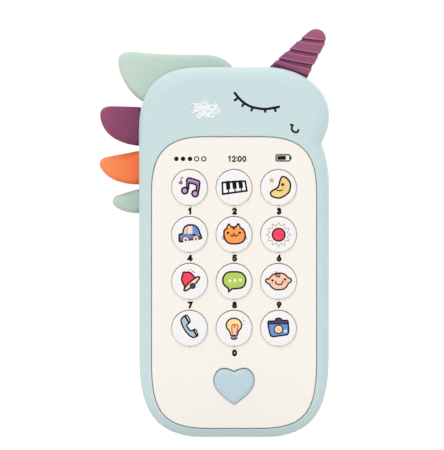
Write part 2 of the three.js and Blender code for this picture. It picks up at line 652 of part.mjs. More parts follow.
function speakerFrame() {
  const front = WALL_FACE - SPEAKER.depth;
  const sheet = 0.8;
  return speakerTurned([
    [0, front],
    [9, front],
    [12.4, WALL_FACE - sheet],
    [SPEAKER.rim, WALL_FACE - sheet],
    [SPEAKER.rim, WALL_FACE],
    [12.2, WALL_FACE],
    [8.6, front + sheet],
    [0, front + sheet],
  ]);
}

function speakerCone() {
  return speakerTurned([
    [0, WALL_FACE - 4.1],
    [5, WALL_FACE - 4.1],
    [11.4, WALL_FACE - 0.9],
    [11.4, WALL_FACE - 0.4],
    [4.4, WALL_FACE - 3.4],
    [2.6, WALL_FACE - 2.6],
    [0, WALL_FACE - 2.3],
  ]);
}

function speakerMagnet() {
  const back = WALL_FACE - SPEAKER.depth - CONTACT;
  return rod(MAGNET.radius, back - MAGNET.thick, back, SPEAKER.x, SPEAKER.z, 20);
}

const BOARD_FACE = BOARD.back + CONTACT; // what stands on the board starts here

// The chip is under a round blob of black epoxy.
function soundChip() {
  const { x, z, radius, thick } = CHIP;
  const profile = [
    [0, BOARD_FACE],
    [radius, BOARD_FACE],
    [0.84 * radius, BOARD_FACE + 0.58 * thick],
    [0.48 * radius, BOARD_FACE + 0.9 * thick],
    [0, BOARD_FACE + thick],
  ];
  return turned(profile, x, z, 16);
}

function capacitor() {
  const { x, z, radius, length } = CAPACITOR;
  const geometry = new THREE.CylinderGeometry(radius, radius, length, 16);
  geometry.rotateZ(Math.PI / 2);
  geometry.translate(x, BOARD_FACE + radius, z);
  return toSolid(geometry);
}

function switchBody() {
  const { z, halfWidth, halfHeight, channel, pinPitch } = SWITCH;
  const can = box([-halfWidth, halfWidth], [WALL_FACE - 4, WALL_FACE], [z - halfHeight, z + halfHeight]);
  const run = [KNOB.x - KNOB.half - 0.4, KNOB.x + KNOB.travel + KNOB.half + 0.4];
  const trough = box(run, [WALL_FACE - 1.6, WALL_FACE + 1], [z - channel, z + channel]);
  const pins = [-pinPitch, 0, pinPitch].map((x) =>
    box([x - 0.3, x + 0.3], [WALL_FACE - 6.2, WALL_FACE - 3.9], [z - 0.5, z + 0.5]),
  );
  return join([can.subtract(trough), ...pins]);
}

function switchKnob() {
  const across = [KNOB.x - KNOB.half, KNOB.x + KNOB.half];
  return box(across, [WALL_FACE - 1.3, KNOB.back], [SWITCH.z - 1, SWITCH.z + 1]);
}

// ---- Fasteners ----
// A pan-head screw driven from the rear, towards -Y, with its head's underside at y = seat.
function screw(x, z, seat, { tip, head, headThick, shank }) {
  const profile = [
    [0, tip],
    [shank, tip + 1.2],
    [shank, seat],
    [head, seat],
    [head, seat + headThick * 0.6],
    [head * 0.7, seat + headThick],
    [0, seat + headThick],
  ];
  return turned(profile, x, z, 10);
}

const caseScrew = ({ x, z }) => screw(x, z, CASE_POST.seatBack + CONTACT, CASE_SCREW);
const doorScrew = (z) => screw(0, z, HALF_DEPTH - DOOR.thick + CONTACT, DOOR_SCREW);
const boardScrew = ({ x, z }) => screw(x, z, BOARD_FACE, BOARD_SCREW);

// ---- Wires ----
// A wire whose route is a smooth curve through a few places, with flat ends.
function wire(places) {
  const points = places.map((place) => new THREE.Vector3(...place));
  const path = new THREE.CatmullRomCurve3(points, false, "centripetal");
  const section = new THREE.Shape();
  section.absarc(0, 0, WIRE.radius, 0, 2 * Math.PI);
  const steps = Math.max(6, Math.round(path.getLength() / WIRE.pitch));
  const options = { extrudePath: path, steps, curveSegments: WIRE.curve };
  return toSolid(new THREE.ExtrudeGeometry(section, options));
}

// A wire starts at a contact's tab, a switch pin or a loudspeaker terminal, and ends flat on the board.
const onBoard = BOARD_FACE + WIRE.radius;
const onTab = (CONTACT_PLATE.lugFront + CONTACT_PLATE.lugBack) / 2;
const pinEnd = WALL_FACE - 6.9;
const terminal = { x: 3, y: 4.6, z: 109.6 };
const wires = [
  {
    name: "battery_wire_positive",
    material: WIRE_RED,
    places: [
      [-CELL.pitch, onTab, BAY.top + 6.2],
      [-CELL.pitch, onTab, 84.5],
      [-9, 3, 90],
      [-4, pinEnd, 93.6],
      [-SWITCH.pinPitch, pinEnd, SWITCH.z],
    ],
  },
  {
    name: "battery_wire_negative",
    material: WIRE_BLACK,
    places: [
      [CELL.pitch, onTab, BAY.bottom - 6.2],
      [14, onTab, 16.5],
      [20.6, 1.6, 19],
      [21.6, 2, 30],
      [21.6, 2, 60],
      [21.2, 1, 78],
      [19, onBoard, 86],
      [17.5, onBoard, 89],
    ],
  },
  {
    name: "switch_wire",
    material: WIRE_RED,
    places: [
      [SWITCH.pinPitch, pinEnd, SWITCH.z],
      [4, 3.2, 93.5],
      [5, 0.5, 92],
      [4.4, onBoard, 93.5],
      [3, onBoard, 95],
    ],
  },
  {
    name: "speaker_wire_positive",
    material: WIRE_RED,
    places: [
      [-terminal.x, terminal.y, terminal.z],
      [-3.6, 2.8, 109.8],
      [-8.6, 0.6, 107.8],
      [-11, onBoard, 104],
      [-11, onBoard, 102],
    ],
  },
  {
    name: "speaker_wire_negative",
    material: WIRE_BLACK,
    places: [
      [terminal.x, terminal.y, terminal.z],
      [3.6, 2.8, 109.8],
      [6.6, 0.6, 107.8],
      [8, onBoard, 104],
      [8, onBoard, 102],
    ],
  },
];

// ---- The assembly ----
const phone = new THREE.Group();
function add(name, solid, material) {
  const mesh = new THREE.Mesh(toGeometry(solid), material);
  mesh.name = name;
  phone.add(mesh);
}

add("front_shell", frontShell(), SHELL_BLUE);
add("rear_shell", rearShell(), SHELL_BLUE);
add("face_panel", facePanel(), PANEL_WHITE);
keyPlaces.forEach((place) => add(place.name, roundKey(place), KEY_WHITE));
add("key_heart", heartKey(), HEART_BLUE);
softPieces.forEach((piece) => add(piece.name, softSolid(piece), piece.material));
add("keypad_membrane", keypadMembrane(), PAD_GREY);
add("circuit_board", circuitBoard(), BOARD_TAN);
add("sound_chip", soundChip(), BLACK);
add("capacitor", capacitor(), BLACK);
boardScrews.forEach((place, i) => add(`board_screw_${i + 1}`, boardScrew(place), STEEL));
add("speaker_frame", speakerFrame(), STEEL);
add("speaker_cone", speakerCone(), CONE_PAPER);
add("speaker_magnet", speakerMagnet(), MAGNET_GREY);
add("power_switch_body", switchBody(), STEEL);
add("power_switch_knob", switchKnob(), BLACK);
add("battery_door", batteryDoor(), SHELL_BLUE);
DOOR.earZ.forEach((z, i) => add(`battery_door_screw_${i + 1}`, doorScrew(z), STEEL));
cells.forEach((cell) => add(cell.name, batteryCell(cell), CELL_WRAP));
Object.entries(contacts).forEach(([name, solid]) => add(name, solid, NICKEL));
CASE_SCREWS.forEach((place) => add(place.name, caseScrew(place), STEEL));
wires.forEach(({ name, places, material }) => add(name, wire(places), material));

export default phone;
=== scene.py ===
"""The finished look of a toy cell phone with a sleeping unicorn's head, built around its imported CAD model.

Shapes are drawn in millimetres in the frame's axes: X to the right as the key panel is faced, Y into the
phone and Z up to the horn. piece() turns a finished shape into an object in metres.
"""

import math

import bmesh
import bpy
import numpy as np
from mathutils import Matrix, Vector
from mathutils.geometry import delaunay_2d_cdt, tessellate_polygon


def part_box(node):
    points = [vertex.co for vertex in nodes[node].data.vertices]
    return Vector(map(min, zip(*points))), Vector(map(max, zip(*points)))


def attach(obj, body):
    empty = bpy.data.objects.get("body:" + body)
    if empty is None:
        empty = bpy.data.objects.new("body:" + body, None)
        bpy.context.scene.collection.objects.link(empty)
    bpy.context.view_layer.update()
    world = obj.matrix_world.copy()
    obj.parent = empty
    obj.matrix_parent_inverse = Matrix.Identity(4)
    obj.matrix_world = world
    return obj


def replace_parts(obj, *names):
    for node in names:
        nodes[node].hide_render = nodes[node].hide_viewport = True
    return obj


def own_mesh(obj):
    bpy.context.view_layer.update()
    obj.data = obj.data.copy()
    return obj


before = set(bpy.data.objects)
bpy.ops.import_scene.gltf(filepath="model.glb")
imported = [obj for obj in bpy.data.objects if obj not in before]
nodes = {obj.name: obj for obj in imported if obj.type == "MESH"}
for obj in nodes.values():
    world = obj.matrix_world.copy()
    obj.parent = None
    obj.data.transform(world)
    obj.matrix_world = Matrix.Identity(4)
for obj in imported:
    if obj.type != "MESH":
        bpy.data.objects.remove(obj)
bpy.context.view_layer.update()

MM = 0.001
KEY_NAMES = ["1", "2", "3", "4", "5", "6", "7", "8", "9", "call", "0", "camera"]
HOUSING = "housing"


def box_mm(node):
    """A CAD node's lowest and highest corner, in millimetres."""
    low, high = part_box(node)
    return low / MM, high / MM


# ---- Places taken from the frame ----
HEAD_FACE = box_mm("front_shell")[0].y
PANEL_FACE = box_mm("face_panel")[0].y
KEY_FLANGE = 7.7  # the radius of a round key's flange, behind the panel
KEY_CAP = 6.93  # and of the cap in its hole
KEY_SAG = 0.15  # a key hangs at the bottom of its hole, so the gap shows above it
HEART_AXIS = 21.5  # the height of the heart key's stem
HEART_GAP = 0.2  # between the heart key and its hole, all round


def key_centre(name):
    low, high = box_mm(f"key_{name}")
    return (low.x + high.x) / 2, high.z - KEY_FLANGE


# ---- Outlines, as lists of (x, z) ----
RING_POINTS = 24  # the points of a full circle, where no other count is given


def outline(start, *moves, steps=10):
    """A closed outline. A move holds its end after no control point, one or two, as in SVG's L, Q and C."""
    points = [start]
    for move in moves:
        begin, end = points[-1], move[-1]
        controls = [begin, *move[:-1], end]
        count = 1 if len(move) == 1 else steps
        for i in range(1, count + 1):
            points.append(bezier_point(controls, i / count))
    if math.dist(points[0], points[-1]) < 1e-6:
        points.pop()
    return points


def bezier_point(controls, t):
    while len(controls) > 1:
        controls = [
            (a[0] + (b[0] - a[0]) * t, a[1] + (b[1] - a[1]) * t)
            for a, b in zip(controls, controls[1:])
        ]
    return controls[0]


def smooth(points, closed=False, steps=6):
    """A Catmull-Rom curve through the points."""
    count = len(points)
    result = []
    for i in range(count if closed else count - 1):
        near = [points[k % count if closed else min(max(k, 0), count - 1)] for k in range(i - 1, i + 3)]
        for step in range(steps):
            result.append(catmull(near, step / steps))
    return result if closed else result + [points[-1]]


def rounded(points):
    """A closed smooth curve for a small shape."""
    return smooth(points, closed=True, steps=3)


def catmull(near, t):
    a, b, c, d = (np.array(p, float) for p in near)
    point = b + t * (c - a) / 2 + t * t * (a - 2.5 * b + 2 * c - d / 2) + t**3 * (d - a + 3 * (b - c)) / 2
    return float(point[0]), float(point[1])


def arc(x, z, radius_x, radius_z=None, start=0, end=360, steps=RING_POINTS, turn=0):
    """Points round an ellipse, anticlockwise, with angles in degrees. A full turn leaves out its end."""
    radius_z = radius_x if radius_z is None else radius_z
    whole = abs(end - start) == 360
    c, s = math.cos(math.radians(turn)), math.sin(math.radians(turn))
    points = []
    for i in range(steps if whole else steps + 1):
        angle = math.radians(start + (end - start) * i / steps)
        u, v = radius_x * math.cos(angle), radius_z * math.sin(angle)
        points.append((x + u * c - v * s, z + u * s + v * c))
    return points


def rounded_box(left, bottom, right, top, corner, steps=5):
    corners = [(right - corner, top - corner, 0), (left + corner, top - corner, 90)]
    corners += [(left + corner, bottom + corner, 180), (right - corner, bottom + corner, 270)]
    return [p for x, z, at in corners for p in arc(x, z, corner, start=at, end=at + 90, steps=steps)]


def area(points):
    return sum(a[0] * b[1] - b[0] * a[1] for a, b in zip(points, points[1:] + points[:1])) / 2


def anticlockwise(points):
    return points if area(points) > 0 else points[::-1]


def grown(points, by):
    """A closed outline moved outwards by a distance, with mitred corners."""
    ring = np.array(anticlockwise(points), float)
    ahead = np.roll(ring, -1, axis=0) - ring
    ahead /= np.maximum(np.linalg.norm(ahead, axis=1, keepdims=True), 1e-9)
    out = np.stack([ahead[:, 1], -ahead[:, 0]], axis=1)
    before = np.roll(out, 1, axis=0)
    share = 1 + (out * before).sum(axis=1, keepdims=True)
    moved = ring + by * (out + before) / np.maximum(share, 0.35)
    return [tuple(p) for p in moved.tolist()]


def stroke(points, width, closed=False):
    """The outline of a line of a given width, with round ends, or the two outlines of a closed line."""
    half = width / 2
    if closed:
        return [grown(points, half), grown(points, -half)]
    line = np.array(points, float)
    ahead = np.diff(line, axis=0)
    ahead /= np.maximum(np.linalg.norm(ahead, axis=1, keepdims=True), 1e-9)
    side = np.stack([-ahead[:, 1], ahead[:, 0]], axis=1)
    first, last = side[:1], side[-1:]
    before, after = np.vstack([first, side]), np.vstack([side, last])
    share = 1 + (before * after).sum(axis=1, keepdims=True)
    offset = half * (before + after) / np.maximum(share, 0.3)
    left, right = line + offset, line - offset
    end = round_end(line[-1], ahead[-1], half)
    start = round_end(line[0], -ahead[0], half)
    return [[tuple(p) for p in np.vstack([right, end, left[::-1], start]).tolist()]]


def round_end(at, ahead, radius, steps=5):
    turned = math.atan2(ahead[1], ahead[0])
    angles = [turned - math.pi / 2 + math.pi * i / (steps + 1) for i in range(1, steps + 1)]
    return np.array([(at[0] + radius * math.cos(a), at[1] + radius * math.sin(a)) for a in angles])


# ---- Solids ----
def cap(bm, loops, y, material=0):
    """A flat face at depth y inside the first outline and outside the others."""
    rings = [[bm.verts.new((x, y, z)) for x, z in loop] for loop in loops]
    flat = [vertex for ring in rings for vertex in ring]
    for triangle in tessellate_polygon([[Vector((x, z, 0)) for x, z in loop] for loop in loops]):
        if len(set(triangle)) == 3:
            face = bm.faces.new([flat[i] for i in triangle])
            face.material_index = material
    return rings


def bridge(bm, first, second, material=0):
    """Quads between two rings of vertices, or a fan where one of them is a single vertex."""
    count = max(len(first), len(second))
    for i in range(count):
        places = [(first, i), (first, i + 1), (second, i + 1), (second, i)]
        corners = list(dict.fromkeys(ring[k % len(ring)] for ring, k in places))
        if len(corners) > 2:
            face = bm.faces.new(corners)
            face.material_index = material


def plate(bm, loops, front, back, material=0):
    """A flat plate from y = front to y = back, with the first outline outside and holes in the others."""
    for near, far in zip(cap(bm, loops, front, material), cap(bm, loops, back, material)):
        bridge(bm, near, far, material)


def lathe(bm, profile, x, z, sides, trim=None):
    """A solid turned about an axis along Y through (x, z). profile holds (radius, y) pairs, and trim may
    shorten a radius at an angle."""
    rings = []
    for radius, y in profile:
        if radius == 0:
            rings.append([bm.verts.new((x, y, z))])
            continue
        ring = []
        for i in range(sides):
            angle = 2 * math.pi * i / sides
            reach = trim(radius, angle) if trim else radius
            ring.append(bm.verts.new((x + reach * math.cos(angle), y, z + reach * math.sin(angle))))
        rings.append(ring)
    for first, second in zip(rings, rings[1:]):
        bridge(bm, first, second)


def rounding(start, end, steps=5):
    """A quarter ellipse between two (radius, y) pairs. It leaves start along Y and reaches end across it."""
    angles = [math.pi / 2 * i / steps for i in range(steps + 1)]
    return [
        (end[0] + (start[0] - end[0]) * math.cos(a), start[1] + (end[1] - start[1]) * math.sin(a))
        for a in angles
    ]


def edge_distance(points, ring):
    """How far each point is from a closed outline, and whether it is inside it."""
    nearest = np.full(len(points), np.inf)
    crossings = np.zeros(len(points), int)
    for a, b in zip(ring, np.roll(ring, -1, axis=0)):
        along = b - a
        share = np.clip(((points - a) @ along) / max(along @ along, 1e-12), 0, 1)
        gap = np.linalg.norm(points - a - share[:, None] * along, axis=1)
        nearest = np.minimum(nearest, gap)
        straddles = (a[1] > points[:, 1]) != (b[1] > points[:, 1])
        rise = b[1] - a[1] if abs(b[1] - a[1]) > 1e-12 else 1e-12
        crossings += straddles & (points[:, 0] < a[0] + (points[:, 1] - a[1]) * along[0] / rise)
    return nearest, crossings % 2 == 1


def crowned_cap(bm, points, base, height, reach, crown, spacing=1.5):
    """A rounded face over a closed outline. It rises from y = base by height over an elliptical edge that
    reaches some way in, and then by a further crown towards the middle."""
    ring = np.array(anticlockwise(points), float)
    ahead = np.roll(ring, -1, axis=0) - np.roll(ring, 1, axis=0)
    inward = np.stack([-ahead[:, 1], ahead[:, 0]], axis=1) / np.linalg.norm(ahead, axis=1, keepdims=True)
    rows = [ring]
    for angle in (14, 28, 42, 56, 72, 90):
        inset = reach * (1 - math.cos(math.radians(angle)))
        row = ring + inward * inset
        distance, inside = edge_distance(row, ring)
        rows.append(row[inside & (distance > inset - 0.03 * reach)])
    low, high = ring.min(axis=0), ring.max(axis=0)
    across = np.arange(low[0], high[0], spacing)
    levels = enumerate(np.arange(low[1], high[1], spacing))
    grid = np.array([(x + spacing / 2 * (i % 2), z) for i, z in levels for x in across])
    distance, inside = edge_distance(grid, ring)
    rows.append(grid[inside & (distance > reach + spacing / 2)])
    flat = [Vector(p) for p in np.vstack(rows).tolist()]
    result = delaunay_2d_cdt(flat, [], [list(range(len(ring)))], 1, 1e-5)
    placed = np.array([tuple(p) for p in result[0]])
    distance, _ = edge_distance(placed, ring)
    inset = np.clip(distance / reach, 0, 1)
    middle = np.clip(distance / distance.max(), 0, 1)
    rise = height * np.sqrt(np.clip(1 - (1 - inset) ** 2, 0, 1)) + crown * (1 - (1 - middle) ** 2)
    vertices = [bm.verts.new((x, base + h, z)) for (x, z), h in zip(placed.tolist(), rise.tolist())]
    for triangle in result[2]:
        bm.faces.new([vertices[i] for i in triangle])


def wall(bm, points, front, back):
    """The upright side of an outline."""
    near = [bm.verts.new((x, front, z)) for x, z in anticlockwise(points)]
    far = [bm.verts.new((x, back, z)) for x, z in anticlockwise(points)]
    bridge(bm, near, far)


def add_object(name, data):
    obj = bpy.data.objects.new(name, data)
    bpy.context.scene.collection.objects.link(obj)
    return obj


def mesh_object(name, bm, materials):
    """The object of a finished bmesh, with all its faces turned outwards."""
    bmesh.ops.recalc_face_normals(bm, faces=bm.faces)
    mesh = bpy.data.meshes.new(name)
    bm.to_mesh(mesh)
    bm.free()
    for material in materials:
        mesh.materials.append(material)
    return add_object(name, mesh)


def piece(name, bm, materials, body, smooth_angle=None):
    """The object of a shape drawn in millimetres, riding on a body."""
    bmesh.ops.remove_doubles(bm, verts=bm.verts, dist=1e-4)
    bmesh.ops.scale(bm, vec=(MM, MM, MM), verts=bm.verts)
    obj = mesh_object(name, bm, materials)
    if smooth_angle is not None:
        obj.data.shade_smooth()
        obj.data.set_sharp_from_angle(angle=math.radians(smooth_angle))
    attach(obj, body)
    return obj


# ---- Materials ----
def srgb(red, green, blue):
    """A linear colour from 0 to 255 display values."""
    linear = [((c / 255 + 0.055) / 1.055) ** 2.4 if c > 10 else c / 255 / 12.92 for c in (red, green, blue)]
    return (*linear, 1)


def shaded(color, factor):
    return (*(min(c * factor, 1) for c in color[:3]), 1)


def fill(tree, socket, value):
    """Links a socket to another node's output, or gives it a constant."""
    if isinstance(value, bpy.types.NodeSocket):
        tree.links.new(value, socket)
    else:
        socket.default_value = value


def add_node(tree, kind, **inputs):
    """A new shader node, with its inputs filled by name. An underscore stands for a space."""
    node = tree.nodes.new("ShaderNode" + kind)
    for name, value in inputs.items():
        fill(tree, node.inputs[name.replace("_", " ")], value)
    return node


def map_range(tree, source, from_low, from_high, to_low, to_high):
    limits = {"From_Min": from_low, "From_Max": from_high, "To_Min": to_low, "To_Max": to_high}
    return add_node(tree, "MapRange", Value=source, **limits).outputs["Result"]


class Finish:
    """A material whose colour, gloss and fine relief vary over the surface, in object space."""

    def __init__(self, name, **constants):
        self.material = bpy.data.materials.new(name)
        self.material.use_nodes = True
        self.tree = self.material.node_tree
        self.surface = self.tree.nodes["Principled BSDF"]
        for socket, value in constants.items():
            self.surface.inputs[socket.replace("_", " ")].default_value = value
        self.place = self.tree.nodes.new("ShaderNodeTexCoord").outputs["Object"]
        self.relief = None

    def add(self, kind, **inputs):
        return add_node(self.tree, kind, **inputs)

    def noise(self, size, detail=3, stretch=(1, 1, 1)):
        """Noise with features of a size in millimetres."""
        place = self.add("Mapping", Vector=self.place, Scale=stretch).outputs["Vector"]
        return self.add("TexNoise", Vector=place, Scale=1 / (size * MM), Detail=detail).outputs["Fac"]

    def cells(self, size):
        """Rounded cells of a size in millimetres."""
        return self.add("TexVoronoi", Vector=self.place, Scale=1 / (size * MM)).outputs["Distance"]

    def along(self, axis, start, end):
        """From 0 at start to 1 at end along an axis, in millimetres."""
        split = self.add("SeparateXYZ", Vector=self.place)
        return self.ramp(split.outputs[axis], start * MM, end * MM, 0, 1)

    def ramp(self, source, *limits):
        """A source moved from one range of values to another, each given as its low and high end."""
        return map_range(self.tree, source, *limits)

    def mix(self, factor, first, second):
        """A mix of two colours, either of which may be an output."""
        node = self.add("Mix")
        node.data_type = "RGBA"
        for index, value in ((0, factor), (6, first), (7, second)):
            fill(self.tree, node.inputs[index], value)
        return node.outputs[2]

    def color(self, source):
        self.tree.links.new(source, self.surface.inputs["Base Color"])

    def gloss(self, source, low, high):
        """Roughness from low to high over the middle of a noise."""
        self.tree.links.new(self.ramp(source, 0.3, 0.7, low, high), self.surface.inputs["Roughness"])

    def bump(self, source, height):
        """Relief of a height in millimetres, on top of what is there."""
        node = self.add("Bump", Height=source, Distance=height * MM)
        if self.relief:
            self.tree.links.new(self.relief, node.inputs["Normal"])
        self.relief = node.outputs["Normal"]
        self.tree.links.new(self.relief, self.surface.inputs["Normal"])


def plastic(name, color, roughness=0.4, grain=0.12, relief=0.004, vary=0.02, **constants):
    """Moulded plastic: faint clouding in the colour, uneven gloss and a fine spark-eroded grain."""
    look = Finish(name, **constants)
    clouds = look.noise(9, 4)
    look.color(look.mix(clouds, shaded(color, 1 - vary), shaded(color, 1 + vary)))
    look.gloss(look.noise(3, 4), roughness - 0.05, roughness + 0.05)
    look.bump(look.noise(grain, 2), relief)
    look.bump(look.noise(22, 1), 0.02)
    return look


def silicone(name, first, last, start, end):
    """Matt silicone rubber with a faint bloom of dust. Its colour turns from one to another along X."""
    look = Finish(name, Specular_IOR_Level=0.2)
    body = look.mix(look.along("X", start, end), first, last)
    look.color(look.mix(look.ramp(look.noise(5, 5), 0.35, 0.75, 0, 0.03), body, srgb(214, 198, 204)))
    look.gloss(look.noise(2.2, 4), 0.48, 0.63)
    look.bump(look.noise(0.18, 3), 0.006)
    look.bump(look.noise(7, 2), 0.05)
    return look


def metal(name, color, roughness=0.28, stretch=(1, 1, 1)):
    """Plated or bright metal with fine tool marks and dulled patches."""
    look = Finish(name, Metallic=1.0)
    look.color(look.mix(look.noise(2.5, 4), shaded(color, 0.82), shaded(color, 1.06)))
    look.gloss(look.noise(0.9, 4), roughness - 0.08, roughness + 0.14)
    look.bump(look.noise(0.25, 3, stretch), 0.003)
    return look


def laminate(name):
    """The circuit board: brown paper laminate with fine fibres and pale tinned tracks."""
    look = Finish(name, Specular_IOR_Level=0.45)
    fibres = look.noise(0.6, 4, (1, 1, 6))
    brown = look.mix(fibres, srgb(150, 104, 50), srgb(190, 140, 74))
    tracks = look.ramp(look.cells(5.5), 0.47, 0.5, 0, 1)
    look.color(look.mix(tracks, brown, srgb(204, 176, 128)))
    look.gloss(look.noise(1.5), 0.4, 0.6)
    look.bump(tracks, 0.03)
    look.bump(fibres, 0.006)
    return look


def cone_paper(name):
    """Pressed black paper pulp with fine rings."""
    look = Finish(name, Specular_IOR_Level=0.2)
    pulp = look.noise(0.5, 5)
    look.color(look.mix(pulp, srgb(34, 32, 30), srgb(66, 62, 58)))
    look.gloss(look.noise(1.0), 0.82, 0.95)
    look.bump(pulp, 0.04)
    return look


def cell_wrap(name, low, high):
    """A battery cell's shrink sleeve: blue with a paler band at one end, and no lettering."""
    look = Finish(name, Coat_Weight=0.4, Coat_Roughness=0.12)
    height = look.along("Z", low, high)
    band = look.ramp(height, 0.16, 0.165, 0, 1)
    body = look.mix(look.noise(4, 3), srgb(44, 96, 132), srgb(58, 114, 150))
    look.color(look.mix(band, srgb(196, 176, 120), body))
    look.gloss(look.noise(2, 3), 0.22, 0.36)
    look.bump(look.noise(2.4, 2, (1, 1, 0.3)), 0.02)
    return look


SHELL = plastic(
    "soft_touch_blue",
    srgb(201, 221, 223),
    0.46,
    vary=0.012,
    Specular_IOR_Level=0.4,
    Sheen_Weight=0.3,
    Sheen_Roughness=0.35,
    Sheen_Tint=srgb(236, 255, 240),
)
PANEL = plastic("panel_white", srgb(248, 242, 233), 0.42, relief=0.002, vary=0.01, Specular_IOR_Level=0.4)
CAP = plastic("cap_white", srgb(246, 244, 242), 0.26, relief=0.001, vary=0.006)
HEART = plastic("heart_blue", srgb(190, 212, 220), 0.38, relief=0.002, vary=0.012)
CREST = silicone("silicone_pale_green", srgb(199, 218, 205), srgb(186, 208, 196), -46, -10)
# The plum lobe darkens along X towards the shell: painted shade where it meets the shell.
PLUM = silicone("silicone_plum", srgb(150, 70, 110), srgb(120, 58, 94), -52, -36)
HORN_PLUM = silicone("silicone_plum_horn", srgb(136, 66, 112), srgb(164, 93, 116), 20, 36)
# The horn's groove floors and the dark lines in its creases and at its neck are painted shade; its groove
# edges are a painted highlight.
HORN_GROOVE_SHADE = silicone("silicone_plum_groove_shade", srgb(114, 50, 92), srgb(134, 70, 92), 20, 36)
HORN_CREASE_SHADE = silicone("silicone_plum_crease_shade", srgb(78, 26, 58), srgb(98, 40, 62), 20, 36)
HORN_EDGE_HIGHLIGHT = silicone("silicone_plum_edge_highlight", srgb(156, 84, 132), srgb(182, 112, 134), 20, 36)
ORANGE = silicone("silicone_orange", srgb(254, 146, 84), srgb(252, 112, 54), -52, -36)
MINT = silicone("silicone_mint", srgb(192, 211, 201), srgb(176, 198, 187), -48, -36)
RUBBER = plastic("keypad_rubber", srgb(212, 209, 203), 0.62, grain=0.3, relief=0.01, vary=0.03)
CARBON = plastic("carbon_pill", srgb(38, 38, 40), 0.7, grain=0.3, relief=0.01)
BLACK = plastic("black_moulding", srgb(30, 30, 32), 0.4, grain=0.2, relief=0.006, vary=0.05)
KNOB = plastic("knob_black", srgb(36, 36, 39), 0.45, grain=0.25, relief=0.008, vary=0.05)
STEEL = metal("zinc_steel", srgb(188, 191, 196))
CAN = metal("pressed_steel", srgb(176, 179, 184), 0.34, (1, 6, 1))
NICKEL = metal("nickel_spring", srgb(206, 204, 196), 0.24, (8, 1, 1))
FERRITE = plastic("ferrite_magnet", srgb(74, 76, 80), 0.55, grain=0.35, relief=0.015, vary=0.06)
BOARD = laminate("paper_laminate")
PAPER = cone_paper("cone_paper")
WIRE_RED = plastic("wire_red", srgb(190, 42, 38), 0.42, grain=0.5, relief=0.01, vary=0.05)
WIRE_BLACK = plastic("wire_black", srgb(28, 28, 30), 0.42, grain=0.5, relief=0.01, vary=0.05)


def ink(name, color):
    """Pad-printed ink with slight unevenness."""
    look = plastic(f"ink_{name}", color, 0.5, grain=0.15, relief=0.002, vary=0.035, Specular_IOR_Level=0.15)
    return look.material


# Display colours, from 0 to 255.
INK_COLORS = {
    "black": (6, 6, 8),
    "line": (12, 6, 14),
    "lash": (28, 6, 34),
    "white": (252, 252, 250),
    "cream": (252, 226, 190),
    "purple": (172, 114, 178),
    "lilac": (198, 154, 206),
    "pink": (208, 84, 110),
    "yellow": (243, 214, 138),
    "peach": (226, 168, 112),
    "blue": (112, 148, 208),
    "sky": (178, 196, 208),
    "navy": (74, 68, 104),
    "violet": (122, 102, 152),
    "orange": (254, 160, 84),
    "plum": (96, 32, 58),
    "wine": (72, 8, 16),
    "red": (252, 68, 96),
    "green": (184, 206, 96),
    "pale_green": (240, 248, 200),
    "skin": (250, 204, 176),
    "amber": (250, 224, 160),
    "rust": (216, 98, 58),
    "brown": (62, 26, 14),
    "flush": (246, 178, 152),
    "gold": (247, 204, 128),
    "pearl": (238, 210, 208),
    "glint": (206, 232, 246),
    "tan": (196, 176, 158),
}
INKS = {name: ink(name, srgb(*levels)) for name, levels in INK_COLORS.items()}


# ---- CAD nodes that stay ----
def dress(names, finish, smooth_angle=32):
    """Gives CAD nodes a finish and smooth shading up to an angle between faces."""
    for name in names:
        obj = nodes[name]
        mesh = obj.data
        mesh.materials.clear()
        mesh.materials.append(finish.material)
        if "custom_normal" in mesh.attributes:
            mesh.attributes.remove(mesh.attributes["custom_normal"])
        mesh.polygons.foreach_set("use_smooth", [True] * len(mesh.polygons))
        weld = obj.modifiers.new("weld", "WELD")
        weld.merge_threshold = 1e-6
        split = obj.modifiers.new("crisp_edges", "EDGE_SPLIT")
        split.split_angle = math.radians(smooth_angle)
        even = obj.modifiers.new("even_shading", "WEIGHTED_NORMAL")
        even.keep_sharp = True


def dress_cad_nodes():
    dress(["front_shell", "rear_shell", "battery_door"], SHELL)
    dress(["face_panel"], PANEL)
    dress(["circuit_board"], BOARD)
    dress(["sound_chip", "capacitor"], BLACK)
    dress(["power_switch_knob"], KNOB)
    dress(["speaker_frame", "power_switch_body"], CAN)
    dress(["speaker_cone"], PAPER)
    dress(["speaker_magnet"], FERRITE)
    dress(["battery_contact_positive", "battery_contact_negative"], NICKEL)
    dress(["battery_bridge_upper", "battery_bridge_lower"], NICKEL)
    dress(["battery_wire_positive", "switch_wire", "speaker_wire_positive"], WIRE_RED, 50)
    dress(["battery_wire_negative", "speaker_wire_negative"], WIRE_BLACK, 50)
    for side in ("left", "middle", "right"):
        low, high = box_mm(f"battery_cell_{side}")
        ends = (high.z, low.z) if side == "middle" else (low.z, high.z)
        dress([f"battery_cell_{side}"], cell_wrap(f"sleeve_{side}", *ends))


# ---- Mane and horn ----
MANE_MIDDLE = 2.0  # the depth of the plane between the shells
MANE_HALF = 3.5  # half of the mane's thickness


def petal(wall_top, shoulder, corner, nose, upper_pull, lower_pull, wall_bottom):
    """A lobe of the mane, from its root between the shells, out to its nose and back."""
    root_x, taper = -29.5, 1.6
    return outline(
        (root_x, wall_top[1] - taper),
        (wall_top,),
        (shoulder,),
        (corner, nose),
        (upper_pull, lower_pull, wall_bottom),
        ((root_x, wall_bottom[1] + taper),),
        steps=16,
    )


def crest():
    return outline(
        (0, 144.4),
        ((-2.5, 147.8), (-5.5, 149.9), (-12, 149.9)),
        ((-20, 149.9), (-30, 149.9), (-39, 151)),
        ((-43.5, 151.5), (-45.6, 150), (-45.5, 147.2)),
        ((-45.3, 142), (-41.5, 134.8), (-36, 131.6)),
        ((-31, 129.5),),
        ((-28, 133.5), (-22, 135.6), (-12, 135.6)),
        ((-3, 135.6),),
        steps=16,
    )


